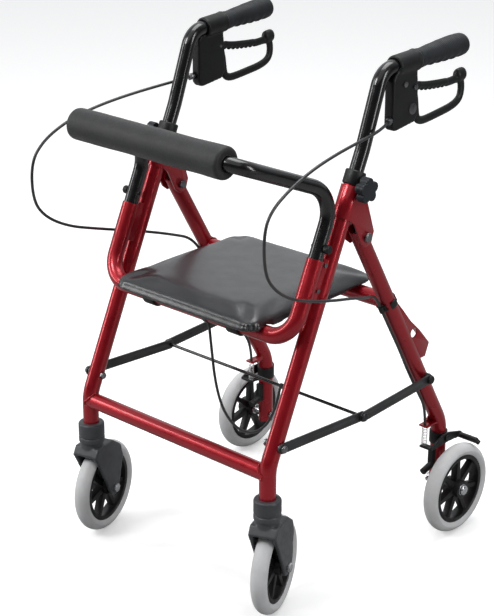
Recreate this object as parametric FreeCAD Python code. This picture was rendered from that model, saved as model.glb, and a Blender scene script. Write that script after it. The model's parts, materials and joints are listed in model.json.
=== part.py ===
"""Folding four-wheeled rollator walker with a hinged padded seat, a roll backrest and loop brakes.

Frame: +Z up, casters at -Y, rear wheels and grips at +Y, +X to the right of someone sitting on the seat
and facing the grips.
Origin: on the floor, midway between the foremost and the rearmost point. Millimetres.
"""
import os
from math import cos, pi, radians, sin, tan

import FreeCAD
import Part

Vector = FreeCAD.Vector
X_AXIS = Vector(1, 0, 0)
Z_AXIS = Vector(0, 0, 1)

# ---- overall stance -------------------------------------------------------------------------------
half_track_legs = 192.0        # X of the leg centrelines
half_track_rear = 230.6        # X of the rear wheel centres
fold_pivot_y = -20.0           # pivot of the rear frame in the front frame's brackets
fold_pivot_z = 562.0
front_lean = radians(24.5)     # front legs, from the vertical
rear_lean = radians(30.3)      # rear legs, from the vertical
pivot_offset = 55.0            # horizontal distance from the front leg's centreline to the fold pivot
front_knee_z = 252.0           # the legs turn vertical below these heights
rear_knee_z = 184.0
leg_top_z = 655.0
leg_foot_z = 182.0
crossbar_z = 243.0

# ---- tubes ----------------------------------------------------------------------------------------
leg_d = 25.4
leg_wall = 1.4
slide_d = 22.44                # handle and backrest tubes, which slide in the legs and sleeves
slide_wall = 1.6
leg_bend_r = 70.0
cross_tube_d = 25.4
weld_gap = 0.02                # between a coped tube end and the tube it is welded to

# ---- seat front tube, sleeves and backrest ---------------------------------------------------------
sleeve_pitch = 33.0            # between the front leg's and the sleeve's centrelines
sleeve_top_z = 549.5
seat_tube_z = 436.7            # centre height of the front and the rear cross tubes
seat_tube_bend_r = 42.0
gusset_top_z = 541.0
gusset_bottom_z = 484.0
gusset_width = 15.0
backrest_foot_z = 478.0
backrest_elbow_z = 640.0
backrest_elbow_r = 46.0
backrest_reach = 181.0         # from the elbow forward to the roll
backrest_rise = 74.0           # from the elbow up to the roll
backrest_corner_x = 172.0
backrest_corner_r = 34.0
foam_length = 304.0
foam_d = 48.0
foam_gap = 0.3
thumb_knob_d = 13.0
thumb_knob_z = 566.0

# ---- seat -----------------------------------------------------------------------------------------
seat_half_width = 149.0
seat_front = 37.6              # ahead of the front tube's centre
seat_depth = 292.0
board_thickness = 4.0
board_inset = 9.0
pad_thickness = 15.3
pad_skirt = 10.7               # the pad's rim hangs this far below its underside, round the board
seat_corner_r = 24.0
seat_gap = 0.3                 # between the cross tubes and the board
tube_recess_gap = 0.6          # between the front tube and the pad's rim over it
rim_rest_gap = 0.9             # between the rear tube and the rim, which rises to it from the front
clip_x = 88.0
clip_width = 22.0
clip_wall = 3.5

# ---- handles --------------------------------------------------------------------------------------
handle_foot_z = 486.0
handle_turn_z = 690.0          # a slight bend above the collar
handle_upper_lean = radians(20.0)
handle_corner_z = 799.8
handle_corner_r = 33.0
grip_rise = radians(3.4)
grip_splay = radians(2.0)
housing_start = 27.0           # distances along the grip axis from the handle's corner
housing_length = 44.0
ring_length = 3.0
grip_length = 110.0
grip_d = 31.0
housing_d = 31.0
collar_d = 31.0
collar_height = 22.0
star_knob_d = 38.0
star_knob_thickness = 14.0
star_knob_z = 641.0
star_screw_r = 4.0

# ---- brake levers ---------------------------------------------------------------------------------
housing_body_width = 17.0
lever_plane_offset = 2.0       # the levers sit this far outside the grip axis
lever_pivot_along = 63.0       # from the handle's corner, measured horizontally
lever_pivot_drop = 33.0        # below the handle's corner
lever_thickness = 9.0
lever_slot_gap = 0.8
lever_pin_r = 2.5

# ---- spreaders ------------------------------------------------------------------------------------
spreader_front_z = 284.0
spreader_rear_z = 283.0
spreader_centre_y = -21.0
spreader_centre_z = 274.0
spreader_width = 16.0
spreader_thickness = 3.0
spreader_layer_gap = 0.6
spreader_bolt_r = 3.0
centre_rod_r = 2.6

# ---- wheels and casters ---------------------------------------------------------------------------
wheel_d = 152.4
tyre_width = 27.0
rim_outer_r = 58.5
rim_band = 7.0
rim_width = 19.0
hub_r = 15.0
hub_length = 30.0
spoke_count = 7
bearing_r = 9.5
bearing_length = 7.0
axle_r = 4.0
caster_trail = 30.0
caster_rest_right = radians(22.0)   # the casters as they stand, turned about their stems
caster_rest_left = radians(15.0)
fork_gap = 17.0                # from the wheel's middle plane to the fork plate
fork_plate = 5.0
socket_d = 42.0
socket_top_z = 204.0
socket_bottom_z = 171.0
crown_top_z = 163.0
crown_bottom_z = 155.0
stem_r = 6.0

# ---- rear brakes ----------------------------------------------------------------------------------
brake_pivot_ahead = -3.0       # of the rear leg's foot centreline
brake_pivot_z = 160.0
brake_arm_front = 38.0
shoe_angle = radians(25.0)     # behind the top of the tyre
shoe_r = 5.0
shoe_gap = 3.0
brake_tab_z = 189.0
cable_clip_z = 436.0

# ---- cables and strap -----------------------------------------------------------------------------
cable_r = 2.3
strap_r = 2.2
strap_top_x = 30.0            # where the strap hangs from the front tube
strap_rod_x = 45.0            # where it is looped round the spreaders' rod
strap_loop_half = 4.0
run_fit = 0.06                 # radial clearance of a pin or a sliding tube
arc_share = 0.45               # of the shorter run, used by each arc of a cable

# ---- derived --------------------------------------------------------------------------------------
leg_r = leg_d / 2
bore_r = leg_r - leg_wall
slide_r = slide_d / 2
wheel_r = wheel_d / 2
seat_tube_top = seat_tube_z + cross_tube_d / 2
board_bottom = seat_tube_top + seat_gap
pad_bottom = board_bottom + board_thickness
front_up = Vector(0, sin(front_lean), cos(front_lean))
front_back = Vector(0, cos(front_lean), -sin(front_lean))
rear_down = Vector(0, sin(rear_lean), -cos(rear_lean))


def front_leg_y(z):
    """Y of the front leg's sloping centreline at a height."""
    return fold_pivot_y - pivot_offset + (z - fold_pivot_z) * tan(front_lean)


def rear_leg_y(z):
    """Y of the rear leg's sloping centreline at a height."""
    return fold_pivot_y + (fold_pivot_z - z) * tan(rear_lean)


def sleeve_y(z):
    """Y of the backrest sleeve's centreline at a height."""
    return front_leg_y(z) - sleeve_pitch / cos(front_lean)


front_foot_y = front_leg_y(front_knee_z)
rear_foot_y = rear_leg_y(rear_knee_z)
seat_tube_y = sleeve_y(seat_tube_z)
rear_cross_y = rear_leg_y(seat_tube_z)


# ---- shape helpers --------------------------------------------------------------------------------
def cylinder(start, end, radius):
    axis = end - start
    return Part.makeCylinder(radius, axis.Length, start, axis)


def x_cylinder(x0, x1, y, z, radius):
    return cylinder(Vector(x0, y, z), Vector(x1, y, z), radius)


def ring(start, end, outer, inner):
    return cylinder(start, end, outer).cut(cylinder(start, end, inner))


def box(x0, x1, y0, y1, z0, z1):
    return Part.makeBox(x1 - x0, y1 - y0, z1 - z0, Vector(x0, y0, z0))


def corner_arc(before, corner, after, radius):
    """Tangent arc at a corner: its start, middle and end."""
    back = (before - corner).normalize()
    ahead = (after - corner).normalize()
    turn = pi - back.getAngle(ahead)
    tangent = radius * tan(turn / 2)
    bisector = (back + ahead).normalize()
    centre = corner + bisector * (radius / cos(turn / 2))
    return corner + back * tangent, centre - bisector * radius, corner + ahead * tangent


def path_wire(points, radii):
    """Straight runs joined by tangent arcs."""
    edges = []
    start = points[0]
    for index, radius in enumerate(radii, start=1):
        first, middle, last = corner_arc(points[index - 1], points[index], points[index + 1], radius)
        edges.append(Part.makeLine(start, first))
        edges.append(Part.Arc(first, middle, last).toShape())
        start = last
    edges.append(Part.makeLine(start, points[-1]))
    return Part.Wire(edges)


def rod_along(points, radii, radius):
    """Solid round bar along a bent path."""
    wire = path_wire(points, radii)
    heading = points[1] - points[0]
    section = Part.Wire(Part.makeCircle(radius, points[0], heading))
    return wire.makePipeShell([section], True, False)


def tube_along(points, radii, outer, inner):
    return rod_along(points, radii, outer).cut(rod_along(points, radii, inner))


def side_prism(outline, x0, x1):
    """Extrude an outline of (y, z) points from x0 to x1."""
    corners = [Vector(x0, y, z) for y, z in outline]
    face = Part.Face(Part.makePolygon(corners + corners[:1]))
    return face.extrude(Vector(x1 - x0, 0, 0))


def rounded_plate(x0, x1, y0, y1, z0, z1, radius):
    """Flat slab with rounded vertical corners."""
    slab = box(x0, x1, y0, y1, z0, z1)
    upright = [e for e in slab.Edges if abs(e.tangentAt(e.FirstParameter).z) > 0.9]
    return slab.makeFillet(radius, upright)


def bar_link(x0, x1, start, end, width, holes):
    """Flat bar with round ends between two (y, z) points and a hole of the given radius at each."""
    ends = [x_cylinder(x0, x1, y, z, width / 2) for y, z in (start, end)]
    first = Vector(x0, *start)
    last = Vector(x0, *end)
    side = (last - first).cross(X_AXIS).normalize() * (width / 2)
    face = Part.Face(Part.makePolygon([first + side, last + side, last - side, first - side, first + side]))
    bar = face.extrude(Vector(x1 - x0, 0, 0)).fuse(ends).removeSplitter()
    for (y, z), hole in zip((start, end), holes):
        bar = bar.cut(x_cylinder(x0 - 1, x1 + 1, y, z, hole))
    return bar


def mirrored(shape):
    return shape.mirror(Vector(0, 0, 0), X_AXIS)


def both_sides(shape):
    """The right-hand piece and its left-hand twin as separate solids."""
    return Part.makeCompound([shape, mirrored(shape)])


def group(shapes):
    return Part.makeCompound(shapes)


# ---- front frame ----------------------------------------------------------------------------------
def front_leg_points():
    return [
        Vector(half_track_legs, front_leg_y(leg_top_z), leg_top_z),
        Vector(half_track_legs, front_foot_y, front_knee_z),
        Vector(half_track_legs, front_foot_y, leg_foot_z),
    ]


def front_leg_blank():
    return rod_along(front_leg_points(), [leg_bend_r], leg_r)


def front_leg():
    leg = tube_along(front_leg_points(), [leg_bend_r], leg_r, bore_r)
    bolt_y = front_leg_y(spreader_front_z)
    leg = leg.cut(x_cylinder(0, 2 * half_track_legs, bolt_y, spreader_front_z, spreader_bolt_r))
    return leg.cut(star_screw_hole())


def front_crossbar():
    y = front_leg_y(front_knee_z)
    reach = half_track_legs
    bar = x_cylinder(-reach, reach, y, crossbar_z, leg_r)
    bar = bar.cut(x_cylinder(-reach, reach, y, crossbar_z, bore_r))
    leg_copy = rod_along(front_leg_points(), [leg_bend_r], leg_r + weld_gap)
    return bar.cut(leg_copy).cut(mirrored(leg_copy))


def seat_front_points():
    top_y = sleeve_y(sleeve_top_z)
    return [
        Vector(-half_track_legs, top_y, sleeve_top_z),
        Vector(-half_track_legs, seat_tube_y, seat_tube_z),
        Vector(half_track_legs, seat_tube_y, seat_tube_z),
        Vector(half_track_legs, top_y, sleeve_top_z),
    ]


def seat_front_tube():
    return tube_along(seat_front_points(), [seat_tube_bend_r] * 2, cross_tube_d / 2, bore_r)


def sleeve_gusset():
    """Folded web that ties a backrest sleeve to the front leg."""
    half = gusset_width / 2
    outline = []
    for z in (gusset_top_z, gusset_bottom_z):
        outline.append((front_leg_y(z), z))
        outline.append((sleeve_y(z), z + sleeve_pitch * sin(front_lean)))
    ordered = [outline[0], outline[1], outline[3], outline[2]]
    web = side_prism(ordered, half_track_legs - half, half_track_legs + half)
    low, high = gusset_bottom_z - 60, gusset_top_z + 60
    for centre in (front_leg_y, sleeve_y):
        start = Vector(half_track_legs, centre(low), low)
        end = Vector(half_track_legs, centre(high), high)
        web = web.cut(cylinder(start, end, leg_r + weld_gap))
    return web


def bracket_point(across, along):
    """(y, z) at a distance behind the front leg's centreline and along it from the fold pivot's foot."""
    pivot = Vector(0, fold_pivot_y, fold_pivot_z)
    point = pivot + front_back * (across - pivot_offset * cos(front_lean)) + front_up * along
    return point.y, point.z


def pivot_bracket():
    """Plate wrapped round the front of the leg, with two cheeks that hold the rear leg."""
    cheek = 3.0
    outer = leg_r + cheek
    pivot_across = pivot_offset * cos(front_lean)
    outline = [
        (0, 15), (0, 64), (leg_r, 64), (22, 54), (pivot_across + 12, 12),
        (pivot_across + 14, -6), (pivot_across + 4, -15), (pivot_across - 9, -12), (leg_r, 12),
    ]
    cheeks = side_prism([bracket_point(*p) for p in outline], half_track_legs - outer, half_track_legs + outer)
    low = Vector(half_track_legs, *bracket_point(0, 15))
    high = Vector(half_track_legs, *bracket_point(0, 64))
    wrap = cylinder(low, high, outer)
    blank = cheeks.fuse(wrap)
    far_low = low - front_up * 80
    far_high = high + front_up * 80
    blank = blank.cut(cylinder(far_low, far_high, leg_r + weld_gap))
    inner = leg_r + 2 * run_fit
    slot = [bracket_point(0, -60), bracket_point(0, 120), bracket_point(120, 120), bracket_point(120, -60)]
    blank = blank.cut(side_prism(slot, half_track_legs - inner, half_track_legs + inner))
    blank = blank.cut(x_cylinder(0, 2 * half_track_legs, fold_pivot_y, fold_pivot_z, axle_r))
    return blank.cut(star_screw_hole())


def hex_head(x0, x1, y, z, across_flats):
    radius = across_flats / 2 / cos(pi / 6)
    outline = [(y + radius * cos(k * pi / 3), z + radius * sin(k * pi / 3)) for k in range(6)]
    return side_prism(outline, x0, x1)


def through_bolt(y, z, radius, inner_face, outer_face, head_d):
    """Bolt with a domed head outside, a washer and a nut inside."""
    head = 5.0
    shank = x_cylinder(inner_face - head, outer_face + head / 2, y, z, radius)
    cap = x_cylinder(outer_face, outer_face + head, y, z, head_d / 2)
    rim = [e for e in cap.Edges if e.BoundBox.XMin > outer_face + head - 0.01 and e.BoundBox.XLength < 0.01]
    cap = cap.makeFillet(head / 2, rim)
    nut = hex_head(inner_face - head, inner_face, y, z, head_d * 0.8)
    return shank.fuse([cap, nut]).removeSplitter()


def front_frame_bolts():
    plate = 3.0
    fold = through_bolt(
        fold_pivot_y, fold_pivot_z, axle_r, half_track_legs - leg_r - plate, half_track_legs + leg_r + plate, 15.0
    )
    bar_face = spreader_front_inner() + spreader_thickness + 0.3
    spreader = through_bolt(
        front_leg_y(spreader_front_z), spreader_front_z, spreader_bolt_r - run_fit,
        half_track_legs - leg_r - 0.5, bar_face, 12.0,
    )
    spacer = x_cylinder(
        half_track_legs + leg_r - 2.5, spreader_front_inner() - 0.2,
        front_leg_y(spreader_front_z), spreader_front_z, 6.5,
    )
    leg_copy = rod_along(front_leg_points(), [leg_bend_r], leg_r + weld_gap)
    spreader = spreader.fuse(spacer.cut(leg_copy))
    rivets = []
    for z in (gusset_top_z - 9, gusset_bottom_z + 13):
        middle_y = (front_leg_y(z) + sleeve_y(z)) / 2 + 0.5 * sleeve_pitch * sin(front_lean) * tan(front_lean)
        face = half_track_legs + gusset_width / 2
        rivets.append(x_cylinder(face, face + 2.2, middle_y, z + 6.5, 3.4))
    return group([both_sides(s) for s in [fold, spreader] + rivets])


def star_screw_hole():
    """Clearance for the star knob's screw, outwards from the leg's centreline."""
    y = front_leg_y(star_knob_z)
    return x_cylinder(half_track_legs, 2 * half_track_legs, y, star_knob_z, star_screw_r + run_fit)


def leg_collar():
    """Black plastic collar that caps the leg and guides the handle tube."""
    top = Vector(half_track_legs, front_leg_y(leg_top_z), leg_top_z)
    low = top - front_up * (collar_height - 8.0)
    high = top + front_up * 8.0
    collar = cylinder(low, high, collar_d / 2)
    collar = collar.makeChamfer(1.6, [e for e in collar.Edges if e.Length < 2 * pi * collar_d and e.Closed])
    collar = collar.cut(cylinder(low - front_up, top, leg_r + weld_gap))
    return collar.cut(cylinder(low, high + front_up, slide_r + run_fit)).cut(star_screw_hole())


def caster_socket():
    """Moulded cup at the foot of a front leg, with the stem's bore."""
    x = half_track_legs
    base = Vector(x, front_foot_y, socket_bottom_z)
    cup = Part.makeCylinder(socket_d / 2, socket_top_z - socket_bottom_z, base)
    top_edges = [e for e in cup.Edges if e.BoundBox.ZMin > socket_top_z - 0.01 and e.Closed]
    cup = cup.makeFillet(4.0, top_edges)
    groove_z = socket_bottom_z + 9.0
    groove = Part.makeTorus(socket_d / 2 + 0.9, 2.2, Vector(x, front_foot_y, groove_z))
    cup = cup.cut(groove)
    seat = Part.makeCylinder(leg_r + weld_gap, 60, Vector(x, front_foot_y, leg_foot_z))
    plug = Part.makeCylinder(bore_r - weld_gap, 30, Vector(x, front_foot_y, leg_foot_z - 1))
    bore = Part.makeCylinder(stem_r + run_fit, 60, Vector(x, front_foot_y, socket_bottom_z - 10))
    return cup.cut(seat).fuse(plug).cut(bore)


# ---- rear frame -----------------------------------------------------------------------------------
def rear_leg_points():
    top = Vector(half_track_legs, fold_pivot_y, fold_pivot_z) - rear_down * 14.0
    foot_z = wheel_r - leg_r
    return [
        top,
        Vector(half_track_legs, rear_foot_y, rear_knee_z),
        Vector(half_track_legs, rear_foot_y, foot_z),
    ]


def rear_leg():
    leg = tube_along(rear_leg_points(), [leg_bend_r], leg_r, bore_r)
    far = 2 * half_track_legs
    leg = leg.cut(x_cylinder(0, far, fold_pivot_y, fold_pivot_z, axle_r + run_fit))
    leg = leg.cut(x_cylinder(0, far, rear_leg_y(spreader_rear_z), spreader_rear_z, spreader_bolt_r))
    return leg.cut(x_cylinder(0, far, rear_foot_y, wheel_r, axle_r))


def rear_leg_copy(extra):
    return rod_along(rear_leg_points(), [leg_bend_r], leg_r + extra)


def rear_cross_tube():
    y = rear_cross_y
    reach = half_track_legs
    bar = x_cylinder(-reach, reach, y, seat_tube_z, cross_tube_d / 2)
    bar = bar.cut(x_cylinder(-reach, reach, y, seat_tube_z, bore_r))
    copy = rear_leg_copy(weld_gap)
    return bar.cut(copy).cut(mirrored(copy))


def rear_cross_copy():
    """Solid copy of the rear cross tube, for the pieces that make room for it."""
    end = half_track_legs + leg_r
    return x_cylinder(-end, end, rear_cross_y, seat_tube_z, cross_tube_d / 2 + 0.3)


def rear_gusset():
    """Pressed plate on the back of the rear leg, with a D-shaped window."""
    behind = [(13, 433), (19, 414), (25, 391), (36, 369), (45, 340), (24, 319)]
    outline = [(rear_leg_y(z) + dy, z) for dy, z in behind]
    outline += [(rear_leg_y(319), 319), (rear_leg_y(433), 433)]
    half = 7.0
    plate = side_prism(outline, half_track_legs - half, half_track_legs + half)
    hollow = [(rear_leg_y(z) + dy - 2.5, z) for dy, z in behind]
    hollow += [(rear_leg_y(322), 322), (rear_leg_y(430), 430)]
    skin = 2.2
    plate = plate.cut(side_prism(hollow, half_track_legs - half - 1, half_track_legs + half - skin))
    window_z = 368.0
    window_y = rear_leg_y(window_z) + 21.0
    window = x_cylinder(0, 2 * half_track_legs, window_y, window_z, 8.0)
    plate = plate.cut(window).cut(rear_cross_copy())
    return plate.cut(rear_leg_copy(weld_gap))


def cable_clip(z):
    """Plastic saddle that ties the brake cable to the front of the rear leg."""
    y = rear_leg_y(z)
    low = Vector(half_track_legs, y, z) + rear_down * 6
    high = Vector(half_track_legs, y, z) - rear_down * 6
    band = ring(low, high, leg_r + 2.0, leg_r + weld_gap)
    ahead = Vector(0, -cos(rear_lean), -sin(rear_lean)) * (leg_r + 4.4)
    boss = cylinder(low + ahead, high + ahead, cable_r + 2.0)
    blank = band.fuse(boss.cut(cylinder(low, high, leg_r + weld_gap))).cut(rear_cross_copy())
    return blank.cut(cylinder(low + ahead, high + ahead, cable_r + weld_gap))


def rear_frame_fixings():
    """Spreader bolts with their bushes, cable clips, brake clamp bands and the stub pegs."""
    bar_outer = spreader_rear_inner() + spreader_thickness
    y = rear_leg_y(spreader_rear_z)
    bolt = through_bolt(
        y, spreader_rear_z, spreader_bolt_r - run_fit, half_track_legs - leg_r - 0.5, bar_outer + 0.3, 14.0
    )
    bush = x_cylinder(half_track_legs + leg_r - 4.0, spreader_rear_inner() - 0.2, y, spreader_rear_z, 9.0)
    bolt = bolt.fuse(bush.cut(rear_leg_copy(weld_gap)))
    low = Vector(half_track_legs, rear_foot_y, brake_pivot_z - 12)
    high = Vector(half_track_legs, rear_foot_y, brake_pivot_z + 8)
    band = ring(low, high, leg_r + 2.2, leg_r + 0.3)
    pin_y = rear_foot_y + brake_pivot_ahead
    pin = x_cylinder(half_track_legs + leg_r + 0.4, brake_arm_inner() + 4.9, pin_y, brake_pivot_z, 3.0)
    cap = x_cylinder(brake_arm_inner() + 4.4, brake_arm_inner() + 6.6, pin_y, brake_pivot_z, 5.5)
    band = band.fuse([pin, cap])
    peg_z = 112.0
    peg = cylinder(
        Vector(half_track_legs, rear_foot_y - leg_r - weld_gap - 0.6, peg_z),
        Vector(half_track_legs, rear_foot_y - leg_r - 26.0, peg_z - 7.0), 5.5,
    )
    peg = peg.fuse(box(half_track_legs - 5, half_track_legs + 5, rear_foot_y - leg_r - 7,
                       rear_foot_y - leg_r - weld_gap - 0.3, peg_z - 6, brake_pivot_z - 22))
    peg = peg.cut(rear_leg_copy(weld_gap))
    return group([both_sides(s) for s in (bolt, cable_clip(cable_clip_z), band, peg)])


def brake_arm_inner():
    """Inner face of the brake arm's side plate, just outside the clamp band."""
    return half_track_legs + leg_r + 2.2 + 0.5


def brake_tab():
    """Red tab on the front of the leg, which holds the cable's adjuster."""
    y = rear_foot_y
    front = y - brake_arm_front - 5
    plate = box(half_track_legs - 8, half_track_legs + 8, front, y, brake_tab_z - 1.5, brake_tab_z + 1.5)
    rib = side_prism(
        [(y, brake_tab_z), (front + 10, brake_tab_z), (y, brake_tab_z + 22)],
        half_track_legs - 8, half_track_legs - 5.5,
    )
    behind = box(0, 2 * half_track_legs, y, y + 40, brake_tab_z - 40, brake_tab_z + 60)
    blank = plate.fuse(rib).cut(rear_leg_copy(weld_gap)).cut(behind)
    hole = Part.makeCylinder(2.6, 20, Vector(half_track_legs, y - brake_arm_front, brake_tab_z - 10))
    return max(blank.Solids, key=lambda solid: solid.Volume).cut(hole)


def wheel_bearings(centre_x, y):
    """The two bearings of one wheel, as rings on its axle."""
    inner = hub_length / 2 - bearing_length
    rings = []
    for side in (-1, 1):
        start = Vector(centre_x + side * inner, y, wheel_r)
        end = Vector(centre_x + side * hub_length / 2, y, wheel_r)
        rings.append(ring(start, end, bearing_r - run_fit, axle_r))
    return rings


def rear_axle():
    """Axle bolt with its spacer, bearings, washer and domed cap."""
    x = half_track_rear
    y = rear_foot_y
    face = x + hub_length / 2
    bolt = x_cylinder(half_track_legs - leg_r - 7, face + 2, y, wheel_r, axle_r)
    nut = hex_head(half_track_legs - leg_r - 6, half_track_legs - leg_r - 0.3, y, wheel_r, 13.0)
    spacer = x_cylinder(half_track_legs + leg_r - 2, x - hub_length / 2, y, wheel_r, 7.0).cut(rear_leg_copy(weld_gap))
    cap = x_cylinder(face, face + 6.0, y, wheel_r, 8.5)
    rim = [e for e in cap.Edges if e.BoundBox.XMin > face + 5.9 and e.BoundBox.XLength < 0.01]
    cap = cap.makeFillet(3.5, rim)
    solid = bolt.fuse([nut, spacer, cap] + wheel_bearings(x, y)).removeSplitter()
    return solid


def brake_arm():
    """Lever over the tyre: front hook for the cable, side plate on its pin, shoe bar across the tread."""
    x0 = brake_arm_inner()
    x1 = x0 + 4.0
    y = rear_foot_y
    pin_y = y + brake_pivot_ahead
    reach = wheel_r + shoe_r + shoe_gap
    shoe_y = y + reach * sin(shoe_angle)
    shoe_z = wheel_r + reach * cos(shoe_angle)
    hook_y = y - brake_arm_front
    outline = [
        (hook_y - 6, brake_pivot_z - 10), (hook_y - 6, brake_pivot_z - 5), (pin_y - 10, brake_pivot_z + 8),
        (pin_y + 8, brake_pivot_z + 8), (shoe_y + 3, shoe_z + 6), (shoe_y + 3, shoe_z - 3),
        (pin_y + 6, brake_pivot_z - 8), (pin_y - 10, brake_pivot_z - 9),
    ]
    plate = side_prism(outline, x0, x1).cut(x_cylinder(x0 - 1, x1 + 1, pin_y, brake_pivot_z, 3.0 + run_fit))
    hook = box(half_track_legs - 6, x1, hook_y - 6, hook_y + 6, brake_pivot_z - 10, brake_pivot_z - 6)
    hook = hook.cut(Part.makeCylinder(1.2, 20, Vector(half_track_legs, hook_y, brake_pivot_z - 18)))
    shoe_end = half_track_rear + tyre_width / 2 + 1
    shoe = x_cylinder(x0, shoe_end, shoe_y, shoe_z, shoe_r)
    tail = cylinder(
        Vector(shoe_end - shoe_r, shoe_y, shoe_z), Vector(shoe_end + 2, shoe_y + 4, shoe_z - 5), shoe_r * 0.8
    )
    return plate.fuse([hook, shoe, tail]).removeSplitter()


def brake_spring():
    """Return spring between the tab and the arm's hook, as a stack of rings on the inner wire's line."""
    x = half_track_legs
    y = rear_foot_y - brake_arm_front
    low = brake_pivot_z - 5.4
    high = brake_tab_z - 2.1
    turns = 7
    pitch = (high - low) / turns
    helix = Part.makeHelix(pitch, high - low - 1.6, 4.2)
    start = Vector(4.2, 0, 0)
    section = Part.Wire(Part.makeCircle(0.7, start, Vector(0, 1, pitch / (2 * pi * 4.2))))
    coil = Part.Wire(helix).makePipeShell([section], True, True)
    coil.translate(Vector(x, y, low + 0.8))
    return coil


# ---- spreaders ------------------------------------------------------------------------------------
def spreader_front_inner():
    return half_track_legs + leg_r + 1.3


def spreader_rear_inner():
    return spreader_front_inner() + spreader_thickness + spreader_layer_gap


def spreader_front_bar():
    x0 = spreader_front_inner()
    start = (front_leg_y(spreader_front_z), spreader_front_z)
    end = (spreader_centre_y, spreader_centre_z)
    return bar_link(x0, x0 + spreader_thickness, start, end, spreader_width, (spreader_bolt_r, centre_rod_r))


def spreader_rear_bar():
    x0 = spreader_rear_inner()
    start = (rear_leg_y(spreader_rear_z), spreader_rear_z)
    end = (spreader_centre_y, spreader_centre_z)
    return bar_link(x0, x0 + spreader_thickness, start, end, spreader_width, (spreader_bolt_r, centre_rod_r))


def centre_rod():
    end = spreader_front_inner() + spreader_thickness
    return x_cylinder(-end, end, spreader_centre_y, spreader_centre_z, centre_rod_r)


def spreader_centre_bolt():
    x0 = spreader_rear_inner()
    face = x0 + spreader_thickness
    shank = x_cylinder(x0, face + 1, spreader_centre_y, spreader_centre_z, centre_rod_r)
    head = x_cylinder(face, face + 4.0, spreader_centre_y, spreader_centre_z, 7.0)
    rim = [e for e in head.Edges if e.BoundBox.XMin > face + 3.9 and e.BoundBox.XLength < 0.01]
    return shank.fuse(head.makeFillet(2.5, rim)).removeSplitter()


# ---- seat -----------------------------------------------------------------------------------------
def seat_span():
    front = seat_tube_y - seat_front
    return front, front + seat_depth


def seat_board():
    front, rear = seat_span()
    inset = board_inset
    return rounded_plate(
        -seat_half_width + inset, seat_half_width - inset, front + inset, rear - inset,
        board_bottom, pad_bottom, seat_corner_r - inset,
    )


def seat_pad():
    """Upholstered pad whose rim hangs round the board, recessed over the front tube.

    The rim's underside rises from the front and passes over the rear tube.
    """
    front, rear = seat_span()
    top = pad_bottom + pad_thickness
    low = pad_bottom - pad_skirt
    pad = rounded_plate(-seat_half_width, seat_half_width, front, rear, low, top, seat_corner_r)
    pad = pad.makeFillet(8.0, [e for e in pad.Edges if e.BoundBox.ZMin > top - 0.01])
    inset = board_inset
    pocket = rounded_plate(
        -seat_half_width + inset, seat_half_width - inset, front + inset, rear - inset,
        low - 1, pad_bottom, seat_corner_r - inset,
    )
    reach = seat_half_width + 1
    recess_r = cross_tube_d / 2 + tube_recess_gap
    recess = x_cylinder(-reach, reach, seat_tube_y, seat_tube_z, recess_r)
    rest_z = seat_tube_z + cross_tube_d / 2 + rim_rest_gap
    rest_y = rear_cross_y - cross_tube_d / 2 - rim_rest_gap
    below = side_prism(
        [(front - 1, low - 1), (front - 1, low), (front, low), (rest_y, rest_z), (rear + 1, rest_z), (rear + 1, low - 1)],
        -reach, reach,
    )
    return pad.cut([recess, below, pocket])


def seat_clip(x):
    """Saddle under the board that holds the front tube and lets the seat turn on it."""
    half = clip_width / 2
    tube_r = cross_tube_d / 2
    inner = tube_r + run_fit
    outer = inner + clip_wall
    start = Vector(x - half, seat_tube_y, seat_tube_z)
    end = Vector(x + half, seat_tube_y, seat_tube_z)
    band = cylinder(start, end, outer)
    wings = box(x - half, x + half, seat_tube_y - outer - 9, seat_tube_y + outer + 9, board_bottom - 4, board_bottom)
    blank = band.fuse(wings)
    above = box(x - half, x + half, seat_tube_y - 60, seat_tube_y + 60, board_bottom, board_bottom + 60)
    return blank.cut(above).cut(cylinder(start, end, inner))


# ---- backrest -------------------------------------------------------------------------------------
def backrest_points():
    foot_y = sleeve_y(backrest_foot_z)
    elbow_y = sleeve_y(backrest_elbow_z)
    roll_y = elbow_y - backrest_reach
    roll_z = backrest_elbow_z + backrest_rise
    right = [
        Vector(half_track_legs, foot_y, backrest_foot_z),
        Vector(half_track_legs, elbow_y, backrest_elbow_z),
        Vector(backrest_corner_x, roll_y, roll_z),
    ]
    left = [Vector(-p.x, p.y, p.z) for p in reversed(right)]
    return right + left


def backrest_radii():
    return [backrest_elbow_r, backrest_corner_r, backrest_corner_r, backrest_elbow_r]


def backrest_tube():
    tube = tube_along(backrest_points(), backrest_radii(), slide_r - run_fit, slide_r - slide_wall)
    z = thumb_knob_z
    return tube.cut(x_cylinder(-2 * half_track_legs, 2 * half_track_legs, sleeve_y(z), z, 3.0 + run_fit))


def backrest_foam():
    roll = backrest_points()[2]
    half = foam_length / 2
    foam = x_cylinder(-half, half, roll.y, roll.z, foam_d / 2)
    foam = foam.makeFillet(4.0, [e for e in foam.Edges if e.Closed and e.BoundBox.XLength < 0.01])
    return foam.cut(rod_along(backrest_points(), backrest_radii(), slide_r + foam_gap))


def backrest_knob():
    """Thumb screw on the outer side of the backrest tube."""
    y = sleeve_y(thumb_knob_z)
    face = half_track_legs + slide_r + 0.6
    shank = x_cylinder(half_track_legs - slide_r - 2, face + 2, y, thumb_knob_z, 3.0)
    head = x_cylinder(face, face + 9.0, y, thumb_knob_z, thumb_knob_d / 2)
    head = head.makeFillet(2.0, [e for e in head.Edges if e.Closed and e.BoundBox.XMin > face + 8.9])
    return shank.fuse(head).removeSplitter()


# ---- handles --------------------------------------------------------------------------------------
def handle_corner():
    turn_y = front_leg_y(handle_turn_z)
    y = turn_y + (handle_corner_z - handle_turn_z) * tan(handle_upper_lean)
    return Vector(half_track_legs, y, handle_corner_z)


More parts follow.
